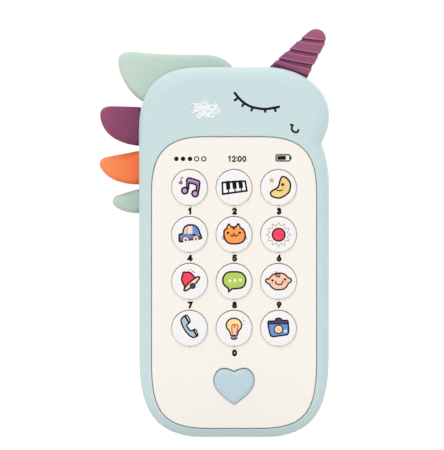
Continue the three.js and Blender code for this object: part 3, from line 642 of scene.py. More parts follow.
# The places of each lobe, in the order of petal()'s parameters.
UPPER = [(-37.5, 129.4), (-48, 129.7), (-52.6, 129.7), (-52.6, 126.2), (-52.2, 120), (-47.5, 115.2)]
UPPER += [(-37.7, 114.1)]
MIDDLE = [(-37.7, 112.1), (-49.5, 109.8), (-52.8, 109.3), (-52.8, 107), (-52.5, 104.2), (-48.5, 99)]
MIDDLE += [(-37.7, 98.9)]
LOWER = [(-37.7, 97.1), (-44, 95.3), (-47.7, 94.5), (-47.7, 92.2), (-47.6, 90), (-43.5, 87.7), (-37.7, 87.6)]
MANE = {
    "mane_crest": (crest(), CREST, "crest_green"),
    "mane_upper": (petal(*UPPER), PLUM, "plum"),
    "mane_middle": (petal(*MIDDLE), ORANGE, "orange"),
    "mane_lower": (petal(*LOWER), MINT, "mint"),
}


def build_mane():
    crown = 0.3
    for node, (points, finish, slot) in MANE.items():
        bm = bmesh.new()
        for side in (-1, 1):
            crowned_cap(bm, points, MANE_MIDDLE, side * (MANE_HALF - crown), 2.1, side * crown)
        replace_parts(piece(f"{node}_silicone", bm, [finish.material], HOUSING, 60), node)


HORN_FOOT = (21.4, 142.3)  # the x and z where its axis leaves the shell
HORN_TILT = math.radians(38)
HORN_FLATTEN = 0.82  # its depth as a share of its width
# Its radius by the distance from the foot, in the body and then in the rounded tip.
HORN_PROFILE = [(-11, 5.2), (-7.2, 5.3), (-6, 7.3), (-2, 7.5), (2.5, 6.9), (8, 5.8), (13, 4.95), (17, 4.2)]
HORN_TIP = [(18.4, 3.9), (19.6, 3.4), (20.5, 2.65), (21.1, 1.8), (21.45, 0.8)]
# How far the rings of the horn lean towards its right side, by their level above the foot.
HORN_LEAN = [(-6, 0), (2, 2.2), (5.5, 3.3), (10.7, 2.9), (16.7, 2.9), (21.5, 0)]
HORN_GROOVES = (5.5, 10.7, 16.7)
# A groove's section: the distance above its painted dark line, and how far the surface is sunk there.
GROOVE = [(-2.3, 0), (-1.95, -0.06), (-1.5, -0.1), (-1.3, -0.05), (-1.15, 0.25), (-0.3, 0.3), (-0.1, 0.42)]
GROOVE += [(0.2, 0.4), (0.33, 0), (0.5, -0.06), (1.0, -0.06), (1.6, 0)]
NECK = 2.2  # the level below which the horn is painted dark, as the shade of the shell's slot


def horn_radius(along):
    """The horn's radius at a distance from its foot, between the profile's places."""
    return float(np.interp(along, *zip(*HORN_PROFILE, *HORN_TIP)))


def horn_levels():
    """The levels of the horn's rings: even steps, and a ring at each corner of a groove's section."""
    corners = [groove + offset for groove in HORN_GROOVES for offset, _ in GROOVE] + [NECK]
    even = np.arange(HORN_PROFILE[0][0], HORN_TIP[-1][0], 0.35).tolist()
    clear = [level for level in even if min(abs(level - corner) for corner in corners) > 0.1]
    return sorted(corners + clear + [HORN_TIP[-1][0]])


def horn_sunk(level):
    offsets, depths = zip(*GROOVE)
    return sum(float(np.interp(level - groove, offsets, depths)) for groove in HORN_GROOVES)


def horn_tone(level):
    """The number of a level's tone: 0 plain, 1 the floor of a groove, painted darker as shade, 2 its dark
    line, painted as shade in the crease and below the neck, 3 an edge painted lighter as a highlight.
    """
    if level < NECK:
        return 2
    tone = 0
    for groove in HORN_GROOVES:
        offset = level - groove
        if -1.95 < offset < 1.0:
            tone = 3
        if -1.3 < offset < 0.33:
            tone = 1 if offset < -0.3 else 2
    return tone


def horn_point(along, angle, radius):
    across = radius * math.cos(angle)
    x = HORN_FOOT[0] + across * math.cos(HORN_TILT) + along * math.sin(HORN_TILT)
    z = HORN_FOOT[1] - across * math.sin(HORN_TILT) + along * math.cos(HORN_TILT)
    return x, MANE_MIDDLE + radius * HORN_FLATTEN * math.sin(angle), z


def build_horn():
    bm = bmesh.new()
    levels, sides = horn_levels(), 96
    lean_at, leans = zip(*HORN_LEAN)
    rings = [[bm.verts.new(horn_point(levels[0], 0, 0))]]
    for level in levels:
        ring = []
        for k in range(sides):
            angle = 2 * math.pi * k / sides
            along = level + float(np.interp(level, lean_at, leans)) * math.cos(angle)
            radius = horn_radius(along) - horn_sunk(level)
            ring.append(bm.verts.new(horn_point(along, angle, radius)))
        rings.append(ring)
    rings.append([bm.verts.new(horn_point(HORN_TIP[-1][0] + 0.12, 0, 0))])
    bridge(bm, rings[0], rings[1])
    for i in range(1, len(rings) - 1):
        middle = (levels[i - 1] + levels[min(i, len(levels) - 1)]) / 2
        bridge(bm, rings[i], rings[i + 1], horn_tone(middle))
    tones = [finish.material for finish in (HORN_PLUM, HORN_GROOVE_SHADE, HORN_CREASE_SHADE, HORN_EDGE_HIGHLIGHT)]
    horn = piece("horn_silicone", bm, tones, HOUSING, 50)
    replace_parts(horn, "horn")


# ---- Keys ----
# The depths of a key's front, of the panel's back, of the flange's back and of the stem's end.
CAP_FACE = -14.15
PANEL_BACK = -10.6
FLANGE_BACK = -9.6
STEM_END = -7.9
STEM = 2.4  # its radius
NOTCH_RADIUS = 6.8
NOTCH_HALF = 9  # degrees to either side of straight down


def notched(radius, angle):
    """A key's flange has a notch below, over the panel's rib that keeps the key from turning."""
    from_below = math.degrees(abs(angle - 1.5 * math.pi))
    return min(radius, NOTCH_RADIUS) if from_below < NOTCH_HALF else radius


def build_round_key(name):
    """A key with its stem, notched flange and softly rounded cap, turned in one piece."""
    x, z = key_centre(name)
    z -= KEY_SAG
    bm = bmesh.new()
    stem = [(0, STEM_END), (STEM - 0.3, STEM_END), (STEM, STEM_END - 0.3), (STEM, FLANGE_BACK)]
    flange = [(KEY_FLANGE - 0.1, FLANGE_BACK), (KEY_FLANGE, FLANGE_BACK - 0.1), (KEY_FLANGE, PANEL_BACK)]
    side = [(KEY_CAP + 0.01, PANEL_BACK), (KEY_CAP, -11.5)]
    shoulder = rounding((KEY_CAP, -13.5), (6.3, CAP_FACE + 0.1), 6)
    face = [(5.6, CAP_FACE + 0.03), (4.6, CAP_FACE), (3, CAP_FACE), (0, CAP_FACE)]
    lathe(bm, stem + flange + side + shoulder + face, x, z, 80, notched)
    cap_piece = piece(f"key_{name}_cap", bm, [CAP.material], f"key_{name}", 40)
    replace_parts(cap_piece, f"key_{name}")


def heart():
    lobe, side = 27.2, 8
    return outline(
        (0, 12.9),
        ((3.5, 15.2), (side, 18.5), (side, 22.2)),
        ((side, 25), (6.4, lobe), (3.8, lobe)),
        ((2.4, lobe), (1.2, 26.6), (0, 26)),
        ((-1.2, 26.6), (-2.4, lobe), (-3.8, lobe)),
        ((-6.4, lobe), (-side, 25), (-side, 22.2)),
        ((-side, 18.5), (-3.5, 15.2), (0, 12.9)),
        steps=14,
    )


def build_heart_key():
    points = [(x, z - KEY_SAG) for x, z in grown(heart(), -HEART_GAP)]
    bm = bmesh.new()
    roll, crown = 1.1, 0.35
    edge = CAP_FACE + roll + crown
    crowned_cap(bm, points, edge, -roll, 1.5, -crown, spacing=0.9)
    wall(bm, points, edge, PANEL_BACK)
    cap(bm, [anticlockwise(points)], PANEL_BACK)
    plate(bm, [grown(heart(), 0.55)], PANEL_BACK + 0.05, FLANGE_BACK)
    lathe(bm, [(0, STEM_END), (STEM, STEM_END), (STEM, FLANGE_BACK), (0, FLANGE_BACK)], 0, HEART_AXIS, 48)
    key = piece("key_heart_cap", bm, [HEART.material], "key_heart", 40)
    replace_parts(key, "key_heart")


# ---- Rubber keypad ----
# The depths of the sheet's two faces, the radii of a dome's foot and top, and the depth of that top.
PAD = {"front": -5.6, "back": -4.6, "dome": 4.5, "top": 2.7, "top_y": -7.6}
ROW_PITCH = 18.3


def build_keypad():
    low, high = box_mm("keypad_membrane")
    centres = {f"key_{name}": key_centre(name) for name in KEY_NAMES}
    centres["key_heart"] = (0, HEART_AXIS)
    columns = [centres["key_1"][0] / 2, centres["key_3"][0] / 2]
    first, second, third = (centres[key][1] for key in ("key_1", "key_4", "key_7"))
    rows = [(first + second) / 2, (third + second) / 2 - ROW_PITCH]
    post_holes = [arc(x, z, 3.0)[::-1] for x in columns for z in rows]
    bm = bmesh.new()
    dome_holes = [arc(x, z, PAD["dome"] - 0.1)[::-1] for x, z in centres.values()]
    edge = rounded_box(low.x, low.z, high.x, high.z, 3)
    plate(bm, [edge, *post_holes, *dome_holes], PAD["front"], PAD["back"])
    sheet = piece("keypad_sheet", bm, [RUBBER.material], HOUSING, 40)
    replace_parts(sheet, "keypad_membrane")
    for key, (x, z) in centres.items():
        build_dome(key, x, z)


def build_dome(key, x, z):
    """One rubber dome, hollow, with the carbon pill that closes the contact on the board."""
    foot, top, top_y = PAD["dome"], PAD["top"], PAD["top_y"]
    base = PAD["front"] + 0.5
    outer = [(foot - 0.1, base), (foot - 0.1, PAD["front"]), (top + 0.5, top_y + 0.9), (top, top_y + 0.2)]
    inner = [(top - 0.6, top_y + 1.2), (top + 0.1, top_y + 1.5), (foot - 0.8, base)]
    bm = bmesh.new()
    lathe(bm, [(0, top_y + 1.2), *inner, *outer, (top - 0.2, top_y), (0, top_y)], x, z, 32)
    dome = piece(f"{key}_dome", bm, [RUBBER.material], HOUSING, 35)
    bm = bmesh.new()
    lathe(bm, [(0, top_y + 1.6), (1.8, top_y + 1.6), (1.8, top_y + 1.22), (0, top_y + 1.22)], x, z, 24)
    pill = piece(f"{key}_carbon_pill", bm, [CARBON.material], HOUSING, 35)
    for soft in (dome, pill):
        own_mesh(soft)


# ---- Screws ----
THREAD_PITCH = 0.7


def cross(x, z, arm, half):
    """The outline of a cross with four arms of a length and half width."""
    quarter = [(arm, -half), (arm, half), (half, half)]
    points = []
    for _ in range(4):
        points += [(x + u, z + v) for u, v in quarter]
        quarter = [(-v, u) for u, v in quarter]
    return points


def thread(shank, tip, seat):
    """The (radius, y) profile of a pointed shank with ridges round it."""
    profile = [(0, tip), (0.3 * shank, tip + 0.1)]
    for i in range(int((seat - tip - 0.5) / THREAD_PITCH)):
        ridge = tip + 0.5 + i * THREAD_PITCH
        reach = min(1, 0.6 + 0.25 * i)
        profile += [(0.74 * shank * reach, ridge), (shank * reach, ridge + THREAD_PITCH / 2)]
    return profile + [(0.8 * shank, seat)]


def build_screw(node, body, head_thick, shank):
    """A pan-head screw with a cross recess, driven from the rear."""
    low, high = box_mm(node)
    x, z, head = (low.x + high.x) / 2, (low.z + high.z) / 2, (high.x - low.x) / 2
    top, seat = high.y, high.y - head_thick
    flat = 0.74 * head
    sides = 48
    rim = [(head - 0.08, seat), (head, seat + 0.08)]
    dome = rounding((head, seat + 0.45 * head_thick), (flat, top))
    bm = bmesh.new()
    lathe(bm, thread(shank, low.y, seat) + rim + dome, x, z, sides)
    mouth = cap(bm, [arc(x, z, flat, steps=sides), cross(x, z, 0.6 * head, 0.17 * head)], top)[1]
    floor = cap(bm, [cross(x, z, 0.42 * head, 0.11 * head)], top - 0.7 * head_thick)[0]
    bridge(bm, mouth, floor)
    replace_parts(piece(f"{node}_steel", bm, [STEEL.material], body, 35), node)


def build_screws():
    for i in range(1, 5):
        build_screw(f"board_screw_{i}", HOUSING, 1.2, 0.95)
    for i in range(1, 3):
        build_screw(f"battery_door_screw_{i}", "battery_cover", 1.3, 1.0)
    for end in ("bottom", "top"):
        for side in ("left", "right"):
            build_screw(f"case_screw_{end}_{side}", HOUSING, 2.0, 1.25)


# ---- Printing ----
LINE = 0.64  # the width of the drawings' outlines
INK_LAYER = 0.008  # the thickness of one layer


class Print:
    """Ink layers on a face that looks towards -Y, each a little prouder than the last, about a centre."""

    def __init__(self, face, x=0, z=0):
        self.bm = bmesh.new()
        self.face, self.x, self.z = face, x, z
        self.layers = 0
        self.inks = []

    def lay(self, color, *shapes):
        """One layer of an ink. A shape is a list of loops: an outline and its holes."""
        self.layers += 1
        if color not in self.inks:
            self.inks.append(color)
        front = self.face - INK_LAYER * self.layers
        for shape in shapes:
            loops = [[(x + self.x, z + self.z) for x, z in loop] for loop in shape]
            plate(self.bm, loops, front, self.face + 0.03, self.inks.index(color))

    def drawn(self, color, *outlines, line="line", width=LINE):
        """Filled outlines with one dark line round all of them together."""
        self.lay(line, *[[grown(points, width / 2)] for points in outlines])
        self.lay(color, *[[grown(points, -width / 2)] for points in outlines])

    def line(self, color, points, width=LINE, closed=False):
        self.lay(color, stroke(points, width, closed))

    def dots(self, color, radius, *places):
        self.lay(color, *[[arc(x, z, radius, steps=16)] for x, z in places])

    def finish(self, name, body, slot):
        return piece(name, self.bm, [INKS[color] for color in self.inks], body)


def draw_notes(p):
    beam = [(-1.1, 3.1), (-0.7, 3.7), (0.0, 3.8), (1.7, 3.35), (3.6, 2.7), (4.05, 2.1), (3.7, -0.8)]
    beam += [(3.3, -2.4), (2.6, -1.2), (2.75, 0.9), (2.3, 1.2), (0.9, 1.7), (-0.15, 1.75)]
    beam += [(-0.5, -0.8), (-1.05, -1.0)]
    p.drawn("purple", beam, arc(-1.85, -1.15, 1.25), arc(2.15, -2.3, 1.25), width=0.62)
    p.line("lilac", [(-0.5, 3.1), (1.5, 2.8), (3.4, 2.2)], 0.35)
    p.lay("lilac", [arc(-1.9, -1.1, 0.7)], [arc(2.1, -2.3, 0.7)])
    p.line("pink", smooth([(-3.1, 1.9), (-3.3, 3.3), (-3.2, 3.8), (-2.5, 4.0)]), 0.42)
    p.drawn("pink", arc(-3.45, 1.9, 0.6, 0.5), line="wine", width=0.25)


def draw_piano(p):
    low, high = ((-4.35, -2.45), (4.9, -1.15)), ((-4.5, 1.95), (4.25, 2.5))

    def between(pair, share):
        return [a + (b - a) * share for a, b in zip(*pair)]

    def patch(left, right, bottom, top):
        sides = [(between(low, at), between(high, at)) for at in (left, right)]
        return [tuple(between(sides[k], up)) for k, up in ((0, bottom), (1, bottom), (1, top), (0, top))]

    splits = (0, 0.24, 0.52, 0.79, 1)
    p.lay("black", [grown(patch(0, 1, 0, 1), 0.42)])
    p.lay("white", *[[patch(a + 0.03, b - 0.03, 0.08, 0.92)] for a, b in zip(splits, splits[1:])])
    p.lay("black", *[[patch(at - 0.09, at + 0.09, 0.34, 1.13)] for at in splits[1:-1]])


def draw_moon(p):
    bean = [(0.75, 3.2), (1.2, 4.1), (1.95, 4.3), (2.9, 3.95), (3.9, 2.95), (4.5, 1.9), (4.65, 0.65)]
    bean += [(4.45, -0.6), (4.0, -1.8), (2.85, -2.8), (1.6, -3.6), (0.2, -4.05), (-1.25, -3.85)]
    bean += [(-2.65, -3.25), (-3.15, -2.3), (-3.0, -1.75), (-2.2, -1.05), (-1.15, -0.5)]
    bean += [(-0.25, 0.2), (0.25, 1.3), (0.45, 2.3)]
    p.drawn("yellow", rounded(bean))
    p.lay("gold", [arc(2.0, 0.3, 0.8, 2.4, turn=-12)])
    p.dots("wine", 0.6, (1.6, 1.2))
    p.line("brown", smooth([(-0.65, -0.9), (0.3, -1.2), (1.4, -0.9)]), 0.46)
    p.lay("peach", [star(-2.65, 2.8, 5, 1.1, 0.65)])


def star(x, z, count, outer, inner):
    """A star's outline, anticlockwise from its top corner."""
    corners = [(outer if i % 2 == 0 else inner, -math.pi * i / count) for i in range(2 * count)]
    return [(x + r * math.sin(a), z + r * math.cos(a)) for r, a in corners]


def draw_car(p):
    body = [(-3.9, -2.6), (-4.05, -0.9), (-3.9, 0.1), (-2.7, 0.4), (-2.4, 1.8), (-1.9, 2.9), (-0.9, 3.6)]
    body += [(0.3, 3.8), (1.7, 3.65), (2.9, 2.9), (3.7, 1.6), (4.1, 0.3), (4.5, -0.5), (4.45, -1.5)]
    body += [(2.4, -1.8), (-0.4, -2.1), (-2.9, -2.7)]
    p.drawn("blue", rounded(body))
    sill = [(-3.7, -2.4), (-3.8, -1.2), (-0.4, -1.1), (4.2, -0.7), (4.2, -1.3), (0, -1.9), (-2.9, -2.5)]
    p.lay("violet", [sill])
    p.lay("pearl", [[(-2.3, 0.4), (-2.1, 1.8), (-1.6, 2.8), (-0.7, 3.3), (1.1, 3.4), (1.2, 0.4)]])
    p.lay("cream", [[(-0.5, 0.5), (-0.4, 3.0), (0.7, 3.0), (0.7, 0.5)]])
    p.lay("tan", [[(-1.3, 0.5), (-1.2, 2.9), (-0.8, 3.0), (-0.8, 0.5)]])
    p.line("violet", [(-3.7, -0.5), (-0.5, -0.4), (1.0, -0.4)], 0.35)
    p.lay("plum", [arc(1.7, -0.1, 0.9, 0.4)], [arc(3.4, -0.9, 0.8, 0.35)])
    p.lay("cream", [arc(-1.5, -2.1, 1.05)], [arc(2.5, -1.65, 1.0)])
    p.dots("wine", 0.42, (-1.5, -2.1), (2.5, -1.65))


def draw_cat(p):
    ears = [(-3.9, 1.3), (-3.6, 1.9), (-2.8, 2.5), (-2.2, 4.0), (-1.9, 4.0), (-1.1, 3.0), (0.8, 3.0)]
    ears += [(1.4, 4.1), (1.8, 4.1), (2.4, 2.8)]
    jaw = [(3.5, 2.1), (4.2, 0.7), (4.3, -0.8), (4.0, -2.0), (3.2, -2.9), (1.8, -3.45), (0.2, -3.6)]
    jaw += [(-1.6, -3.45), (-3.0, -2.6), (-3.7, -1.4), (-3.95, 0.0), ears[0]]
    p.drawn("orange", ears + smooth(jaw, steps=4)[:-1], line="brown")
    p.lay("cream", [[(-2.4, 2.6), (-2.05, 3.6), (-1.5, 2.8)]], [[(1.25, 2.8), (1.65, 3.7), (2.05, 2.7)]])
    p.lay("plum", [[(-1.1, 3.1), (0.8, 3.1), (0.5, 2.5), (-0.1, 1.7), (-0.7, 2.5)]])
    p.dots("wine", 0.5, (-2.35, 0.7), (2.2, 0.7))
    p.dots("brown", 0.3, (-0.05, 0.3))
    mouth = [(-1.3, -0.2), (-0.7, -0.6), (-0.05, -0.15), (0.7, -0.6), (1.6, -0.1)]
    p.line("brown", smooth(mouth, steps=4), 0.44)
    for side, x in ((-1, -3.8), (1, 4.2)):
        p.lay("line", *[stroke([(x, z), (x + 0.7 * side, z - 0.05)], 0.32)[:1] for z in (-0.8, -1.6)])


def draw_sun(p):
    p.line("tan", star(0, 0, 12, 4.75, 3.45), 0.32, closed=True)
    p.drawn("red", arc(0.05, -0.05, 2.45, steps=40), line="wine", width=0.6)


def draw_bell(p):
    dome = [(-2.2, -3.3), (-1.95, -1.9), (-2.6, -0.7), (-3.1, 0.9), (-2.8, 2.3), (-2.5, 3.4), (-2.1, 3.65)]
    dome += [(-1.3, 3.55), (-0.45, 3.7), (0.6, 3.2), (1.6, 2.1), (2.4, 1.5), (3.6, 1.8)]
    p.drawn("red", smooth(dome, steps=4), line="wine")
    p.drawn("cream", arc(0.85, -0.85, 3.95, 0.95, turn=42, steps=36), line="wine")
    p.drawn("navy", arc(1.2, -1.7, 1.0), width=0.4)
    for x, z in ((0.5, 4.6), (1.2, 4.0), (1.8, 3.6)):
        p.line("plum", [(x - 0.25, z + 0.15), (x + 0.25, z - 0.15)], 0.2)


def draw_bubble(p):
    blob = [(-1.8, 3.75), (0, 3.8), (2.2, 3.65), (3.7, 2.7), (4.5, 1.3), (4.5, -0.2), (3.9, -1.7)]
    blob += [(2.7, -2.55)]
    tail = [(0.8, -2.75), (-0.7, -2.85), (-1.2, -3.2), (-2.05, -3.95), (-2.25, -2.65)]
    rest = [(-3.4, -1.8), (-4.25, -0.5), (-4.3, 1.3), (-3.6, 2.7), (-2.8, 3.4)]
    p.drawn("green", smooth(blob, steps=4) + tail + smooth([*rest, blob[0]], steps=4)[:-1])
    p.dots("pale_green", 0.6, (-1.6, 0.25), (0.35, 0.35), (2.4, 0.6))


def draw_baby(p):
    head = [(0.4, 3.3), (2.1, 3.0), (3.1, 2.2), (3.8, 1.45), (4.6, 1.2), (5.05, 0.5), (4.6, -0.3)]
    head += [(3.8, -0.8), (3.2, -1.9), (2.0, -2.9), (0.3, -3.2), (-1.5, -3.0), (-2.9, -2.0), (-3.6, -1.0)]
    head += [(-4.5, -0.5), (-5.05, 0.25), (-4.5, 1.1), (-3.8, 0.95), (-2.9, 2.1), (-1.6, 3.0)]
    p.drawn("skin", rounded(head), line="brown", width=0.58)
    p.lay("flush", [arc(-2.6, -0.5, 0.6, 0.4)], [arc(3.0, 0.0, 0.6, 0.4)])
    p.dots("wine", 0.48, (-2.35, 0.45), (2.5, 0.85))
    p.line("brown", smooth([(-1.2, 0.1), (-0.9, -0.8), (0.1, -1.15), (1.2, -0.95), (1.8, 0.2)]), 0.48)
    p.line("plum", arc(-0.3, 2.45, 0.85, 0.65, -60, 260, 14), 0.38)
    p.line("plum", smooth([(0.3, 1.6), (-0.2, 2.2), (-0.9, 3.0), (-0.8, 3.8)]), 0.38)


def draw_handset(p):
    shape = [(-2.65, 4.3), (-1.9, 4.95), (-1.15, 5.1), (-0.6, 4.6), (0.0, 3.6), (0.2, 2.8), (-0.1, 2.2)]
    shape += [(-0.8, 1.7), (-1.1, 1.1), (-0.6, 0.2), (0.4, -0.85), (1.3, -0.65), (1.95, -0.3), (2.45, -0.6)]
    shape += [(2.95, -1.6), (3.2, -2.6), (2.95, -2.95), (1.9, -3.45), (1.1, -3.4), (0.1, -2.8), (-1.1, -1.6)]
    shape += [(-2.15, -0.1), (-2.9, 1.5), (-3.3, 2.8), (-3.1, 3.8)]
    p.drawn("sky", rounded(shape), width=0.58)
    p.lay("white", [[(-1.2, 4.7), (-0.85, 4.6), (-0.3, 3.6), (-0.05, 2.9), (-0.3, 2.75)]])
    p.lay("white", [[(2.0, -0.7), (2.3, -0.85), (2.75, -1.7), (2.95, -2.5), (2.75, -2.4)]])
    for points in ([(-1.65, 4.5), (-0.9, 3.4), (-0.4, 2.5)], [(1.55, -0.7), (2.1, -1.6), (2.7, -2.7)]):
        p.line("line", points, 0.7)


def draw_bulb(p):
    glass = arc(-0.05, 1.3, 3.0, 2.7, start=-52, end=232, steps=30)
    glass += [(-1.5, -1.9), (-1.2, -2.7), (1.15, -2.7), (1.5, -1.9)]
    p.drawn("amber", glass, line="brown", width=0.58)
    glow = [(-1.2, -2.4), (-1.0, -0.8), (-0.9, 1.1), (0.4, 1.5), (1.5, 1.2), (1.4, -0.6), (1.1, -2.4)]
    p.lay("skin", [glow])
    p.line("rust", smooth([(-0.7, -2.0), (-0.9, 0.3), (-0.5, 1.5), (0.3, 1.4), (0.2, 0.5), (0.1, 0.2)]), 0.46)
    p.line("rust", smooth([(0.1, 0.9), (0.8, 1.5), (1.6, 1.1), (1.3, -0.3), (1.0, -2.0)]), 0.46)
    p.drawn("pearl", rounded_box(-1.1, -3.95, 1.05, -3.3, 0.2), width=0.42)
    p.lay("navy", [rounded_box(-0.85, -4.45, 0.8, -3.95, 0.2)])
    specks = ((3.3, 4.0), (4.1, 2.8), (3.6, 3.0), (3.7, 1.6))
    p.lay("tan", *[[arc(x, z, 0.2, steps=10)] for x, z in specks])


def draw_camera(p):
    body = [(-4.1, 2.3), (-3.9, 2.85), (-1.4, 2.9), (-1.0, 3.7), (-0.4, 4.0), (0.6, 4.0), (1.2, 3.5)]
    body += [(1.5, 3.15), (3.4, 3.15), (3.7, 2.8), (3.95, -0.4), (3.9, -1.5), (3.5, -2.35), (2.5, -2.55)]
    body += [(-2.1, -3.2), (-3.1, -2.8), (-3.5, -1.5), (-3.95, 0.6)]
    p.drawn("blue", body, width=0.6)
    p.lay("line", [[(-4.1, 1.6), (-4.15, 2.3), (3.85, 2.3), (3.8, 1.6)]])
    lid = [(-3.9, 1.95), (-3.9, 2.3), (-3.75, 2.65), (-1.3, 2.7), (-0.8, 3.5), (-0.3, 3.8), (0.5, 3.8)]
    lid += [(1.1, 3.3), (1.4, 2.95), (3.3, 2.95), (3.5, 2.7), (3.5, 1.95)]
    p.lay("navy", [lid])
    for color, radius in (("line", 1.85), ("cream", 1.42), ("gold", 0.9)):
        p.dots(color, radius, (-0.05, -0.35))
    p.dots("glint", 0.6, (2.7, -1.0))


DRAWERS = [draw_notes, draw_piano, draw_moon, draw_car, draw_cat, draw_sun, draw_bell, draw_bubble]
DRAWERS += [draw_baby, draw_handset, draw_bulb, draw_camera]

# Digits as strokes on a cell whose middle is at the origin, one unit from the middle to the top.
DIGITS = {
    "0": [arc(0, 0, 0.6, 1)],
    "1": [[(-0.42, 0.62), (0.08, 1), (0.08, -1)]],
    "2": [[*arc(0, 0.42, 0.56, 0.58, 170, -35, 12), (-0.5, -0.95)], [(-0.55, -1), (0.62, -1)]],
    "3": [arc(-0.04, 0.5, 0.5, 0.5, 150, -90, 12), arc(-0.02, -0.46, 0.58, 0.54, 90, -155, 14)],
    "4": [[(0.28, -1), (0.28, 0.95)], [(0.2, 0.95), (-0.66, -0.42), (0.7, -0.42)]],
    "5": [[(0.6, 1), (-0.32, 1), (-0.46, 0.1), *arc(0, -0.38, 0.6, 0.62, 110, -145, 14)]],
    "6": [arc(0, -0.42, 0.58, 0.58), [(-0.5, -0.15), (0.22, 1)]],
    "7": [[(-0.6, 1), (0.62, 1), (-0.2, -1)]],
    "8": [arc(0, 0.52, 0.44, 0.48), arc(0, -0.44, 0.58, 0.56)],
    "9": [arc(0, 0.42, 0.58, 0.58), [(0.5, 0.15), (-0.22, -1)]],
}


def lay_digit(p, digit, x, z, height, width):
    scale = (height - width) / 2
    for points in DIGITS[digit]:
        placed = [(x + u * scale, z + v * scale) for u, v in points]
        p.line("black", placed, width, closed=len(points) == RING_POINTS)


def print_keys():
    for name, draw in zip(KEY_NAMES, DRAWERS):
        x, z = key_centre(name)
        drawing = Print(CAP_FACE, x, z - KEY_SAG)
        draw(drawing)
        drawing.finish(f"key_{name}_picture", f"key_{name}", "key_white")


def print_panel():
    for name in KEY_NAMES:
        if name in DIGITS:
            x, z = key_centre(name)
            drop = 9.7 if name == "0" else 9.3
            digit = Print(PANEL_FACE)
            lay_digit(digit, name, x + 0.2, z - drop, 2.75, 0.85)
            digit.finish(f"panel_digit_{name}", HOUSING, "panel_white")
    row = 108.8
    signs = Print(PANEL_FACE)
    signs.dots("black", 0.9, (-22.5, row), (-19.9, row), (-17.2, row))
    for x in (-14.6, -11.8):
        signs.line("black", arc(x, row, 0.84), 0.42, closed=True)
    for digit, x in zip("1200", (-1.7, -0.1, 2.2, 4.0)):
        lay_digit(signs, digit, x, row, 2.4, 0.48)
    signs.dots("black", 0.26, (1.05, row + 0.5), (1.05, row - 0.6))
    signs.line("black", rounded_box(16.4, row - 0.8, 21.8, row + 1.6, 0.5), 0.46, closed=True)
    signs.lay("black", [rounded_box(16.9, row - 0.35, 20.2, row + 1.15, 0.2)])
    signs.lay("black", [rounded_box(21.9, row - 0.2, 22.4, row + 1.0, 0.2)])
    signs.finish("panel_status_signs", HOUSING, "panel_white")


def print_head():
    eye = Print(HEAD_FACE)
    lid = [(0.3, 134.5), (2, 132.4), (4, 130.6), (6.5, 129.2), (10, 128.4), (13, 128.3), (17.5, 129.1)]
    eye.line("lash", smooth(lid, steps=8), 1.0)
    lashes = [((1.7, 132.8), (0.3, 131.6)), ((4.1, 130.6), (3.2, 129.4)), ((7.3, 128.9), (6.8, 127.7))]
    lashes += [((11.9, 128.3), (12.2, 127.2)), ((15.8, 128.6), (16.2, 127.5))]
    for lash in lashes:
        eye.line("lash", list(lash), 0.92)
    eye.finish("closed_eye", HOUSING, "shell_blue")
    nostril = Print(HEAD_FACE)
    hook = [(22.1, 122.1), (22.9, 121.9), (22.5, 121), (22.7, 119.9), (23.8, 119.2), (24.7, 119.3)]
    hook += [(25.1, 120.1)]
    nostril.line("line", smooth(hook, steps=5), 0.82)
    nostril.finish("nostril", HOUSING, "shell_blue")
    print_blush()


def print_blush():
    """A cheek of white scribbled loops: short arcs that turn as they go round an ellipse."""
    blush = Print(HEAD_FACE)
    centre_x, centre_z, half_x, half_z, loops = -11.2, 127.9, 5.9, 3.2, 44
    for i in range(loops):
        around = 2.399 * i
        out = math.sqrt((i + 0.5) / loops) * 0.86
        x = centre_x + half_x * out * math.cos(around)
        z = centre_z + half_z * out * math.sin(around)
        size = 1.3 + 0.5 * math.cos(3.1 * i)
        sweep = 150 + 60 * math.sin(1.7 * i)
        start = math.degrees(around) * 1.9
        points = arc(x, z, size, 0.75 * size, start, start + sweep, 12, turn=35 * math.sin(i))
        blush.line("white", points, 0.34)
    blush.finish("cheek_scribble", HOUSING, "shell_blue")


# ---- Camera, light and floor ----
FRAME_HEIGHT = 176.2  # in view, half way between the face of the head and the mane
FRAME_CENTRE = (-4.7, 83.0)  # the x and z that the camera looks at
LENS = 420.0
SENSOR = 36.0


def set_camera():
    data = bpy.data.cameras.new("camera")
    data.lens = LENS
    data.sensor_width = SENSOR
    data.clip_start = 0.01
    data.clip_end = 50
    camera = add_object("camera", data)
    away = FRAME_HEIGHT * LENS / SENSOR
    depth = (HEAD_FACE + MANE_MIDDLE) / 2
    camera.location = (FRAME_CENTRE[0] * MM, (depth - away) * MM, FRAME_CENTRE[1] * MM)
    camera.rotation_euler = (math.pi / 2, 0, 0)
    bpy.context.scene.camera = camera


def sun_light(name, place, strength, spread, color=(1, 1, 1)):
    """Wide even light from the direction of a place, as from a very large softbox."""
    data = bpy.data.lights.new(name, "SUN")
    data.energy = strength
    data.angle = math.radians(spread)
    data.color = color
    light = add_object(name, data)
    light.rotation_euler = (-Vector(place)).to_track_quat("-Z", "Y").to_euler()


WHITE = (1, 1, 1, 1)
WORLD_FRONT, WORLD_BEHIND = 0.63, 1.15  # the studio's light from the front and from behind
BACKDROP = 1.05  # how bright the backdrop is in view
FLOOR_REACH = 6.0
FLOOR_LIFT = 0.5  # light added to the floor in view, so that it stays pale
FLOOR_GLOW = 0.89  # how brightly the floor glows back up, away from the foot
FOOT_SHADE_GLOW = 0.73  # and how brightly round its foot, dimmer there as a painted shade of the phone
SHADE_START, SHADE_END = 0.025, 0.06  # where the painted shade begins to fade and where it ends, from the middle
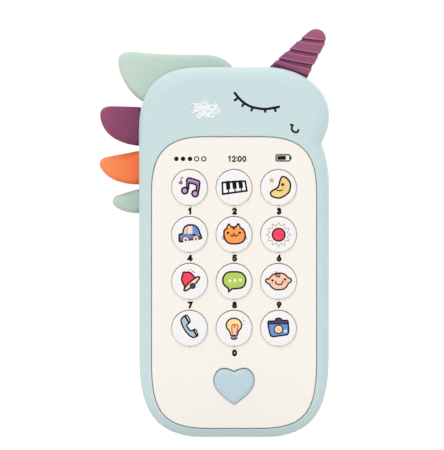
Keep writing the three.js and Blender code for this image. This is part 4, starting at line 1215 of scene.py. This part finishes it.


def show_in_view(tree, seen, other, output):
    """Sends one shader to the camera and another to every other ray."""
    rays = tree.nodes.new("ShaderNodeLightPath")
    choice = tree.nodes.new("ShaderNodeMixShader")
    sources = (rays.outputs["Is Camera Ray"], other.outputs[0], seen.outputs[0])
    for socket, source in zip(choice.inputs, sources):
        tree.links.new(source, socket)
    tree.links.new(choice.outputs[0], tree.nodes[output].inputs["Surface"])


def set_light():
    sun_light("softbox_upper_left", (-0.45, -1.2, 0.85), 0.9, 50)
    sun_light("softbox_overhead", (0.0, 0.2, 1.0), 0.45, 70)
    sun_light("fill_right", (1.0, -0.7, 0.1), 0.3, 80, (0.93, 0.95, 1))
    world = bpy.data.worlds.new("studio")
    world.use_nodes = True
    bpy.context.scene.world = world
    bpy.context.scene.view_settings.view_transform = "Standard"
    tree = world.node_tree
    direction = add_node(tree, "TexCoord").outputs["Generated"]
    depth = add_node(tree, "SeparateXYZ", Vector=direction).outputs["Y"]
    background = tree.nodes["Background"]
    fill(tree, background.inputs["Color"], WHITE)
    strength = map_range(tree, depth, -0.3, 0.7, WORLD_FRONT, WORLD_BEHIND)
    fill(tree, background.inputs["Strength"], strength)
    seen = add_node(tree, "Background", Color=WHITE, Strength=BACKDROP)
    show_in_view(tree, seen, background, "World Output")


def set_floor():
    look = Finish("floor_card", Specular_IOR_Level=0.1, Emission_Color=WHITE, Emission_Strength=FLOOR_LIFT)
    look.color(look.mix(look.noise(300, 2), srgb(250, 250, 250), srgb(254, 254, 254)))
    look.gloss(look.noise(120, 2), 0.85, 0.95)
    away = look.add("VectorMath", Vector=look.place)
    away.operation = "LENGTH"
    # The floor's glow to every ray but the camera's dims round the foot: a painted shade of the phone.
    glow = look.ramp(away.outputs["Value"], SHADE_START, SHADE_END, FOOT_SHADE_GLOW, FLOOR_GLOW)
    bounce = look.add("Emission", Strength=glow)
    show_in_view(look.tree, look.surface, bounce, "Material Output")
    bm = bmesh.new()
    rings = [[bm.verts.new((0, 0, 0))]]
    for share in (0.02, 0.1, 0.4, 1.0):
        rings.append([bm.verts.new((x, y, 0)) for x, y in arc(0, 0, FLOOR_REACH * share, steps=48)])
    for first, second in zip(rings, rings[1:]):
        bridge(bm, first, second)
    floor = mesh_object("floor", bm, [look.material])


# ---- The whole scene ----
set_camera()
set_light()
set_floor()
dress_cad_nodes()
build_mane()
build_horn()
for key_name in KEY_NAMES:
    build_round_key(key_name)
build_heart_key()
build_keypad()
build_screws()
print_keys()
print_panel()
print_head()
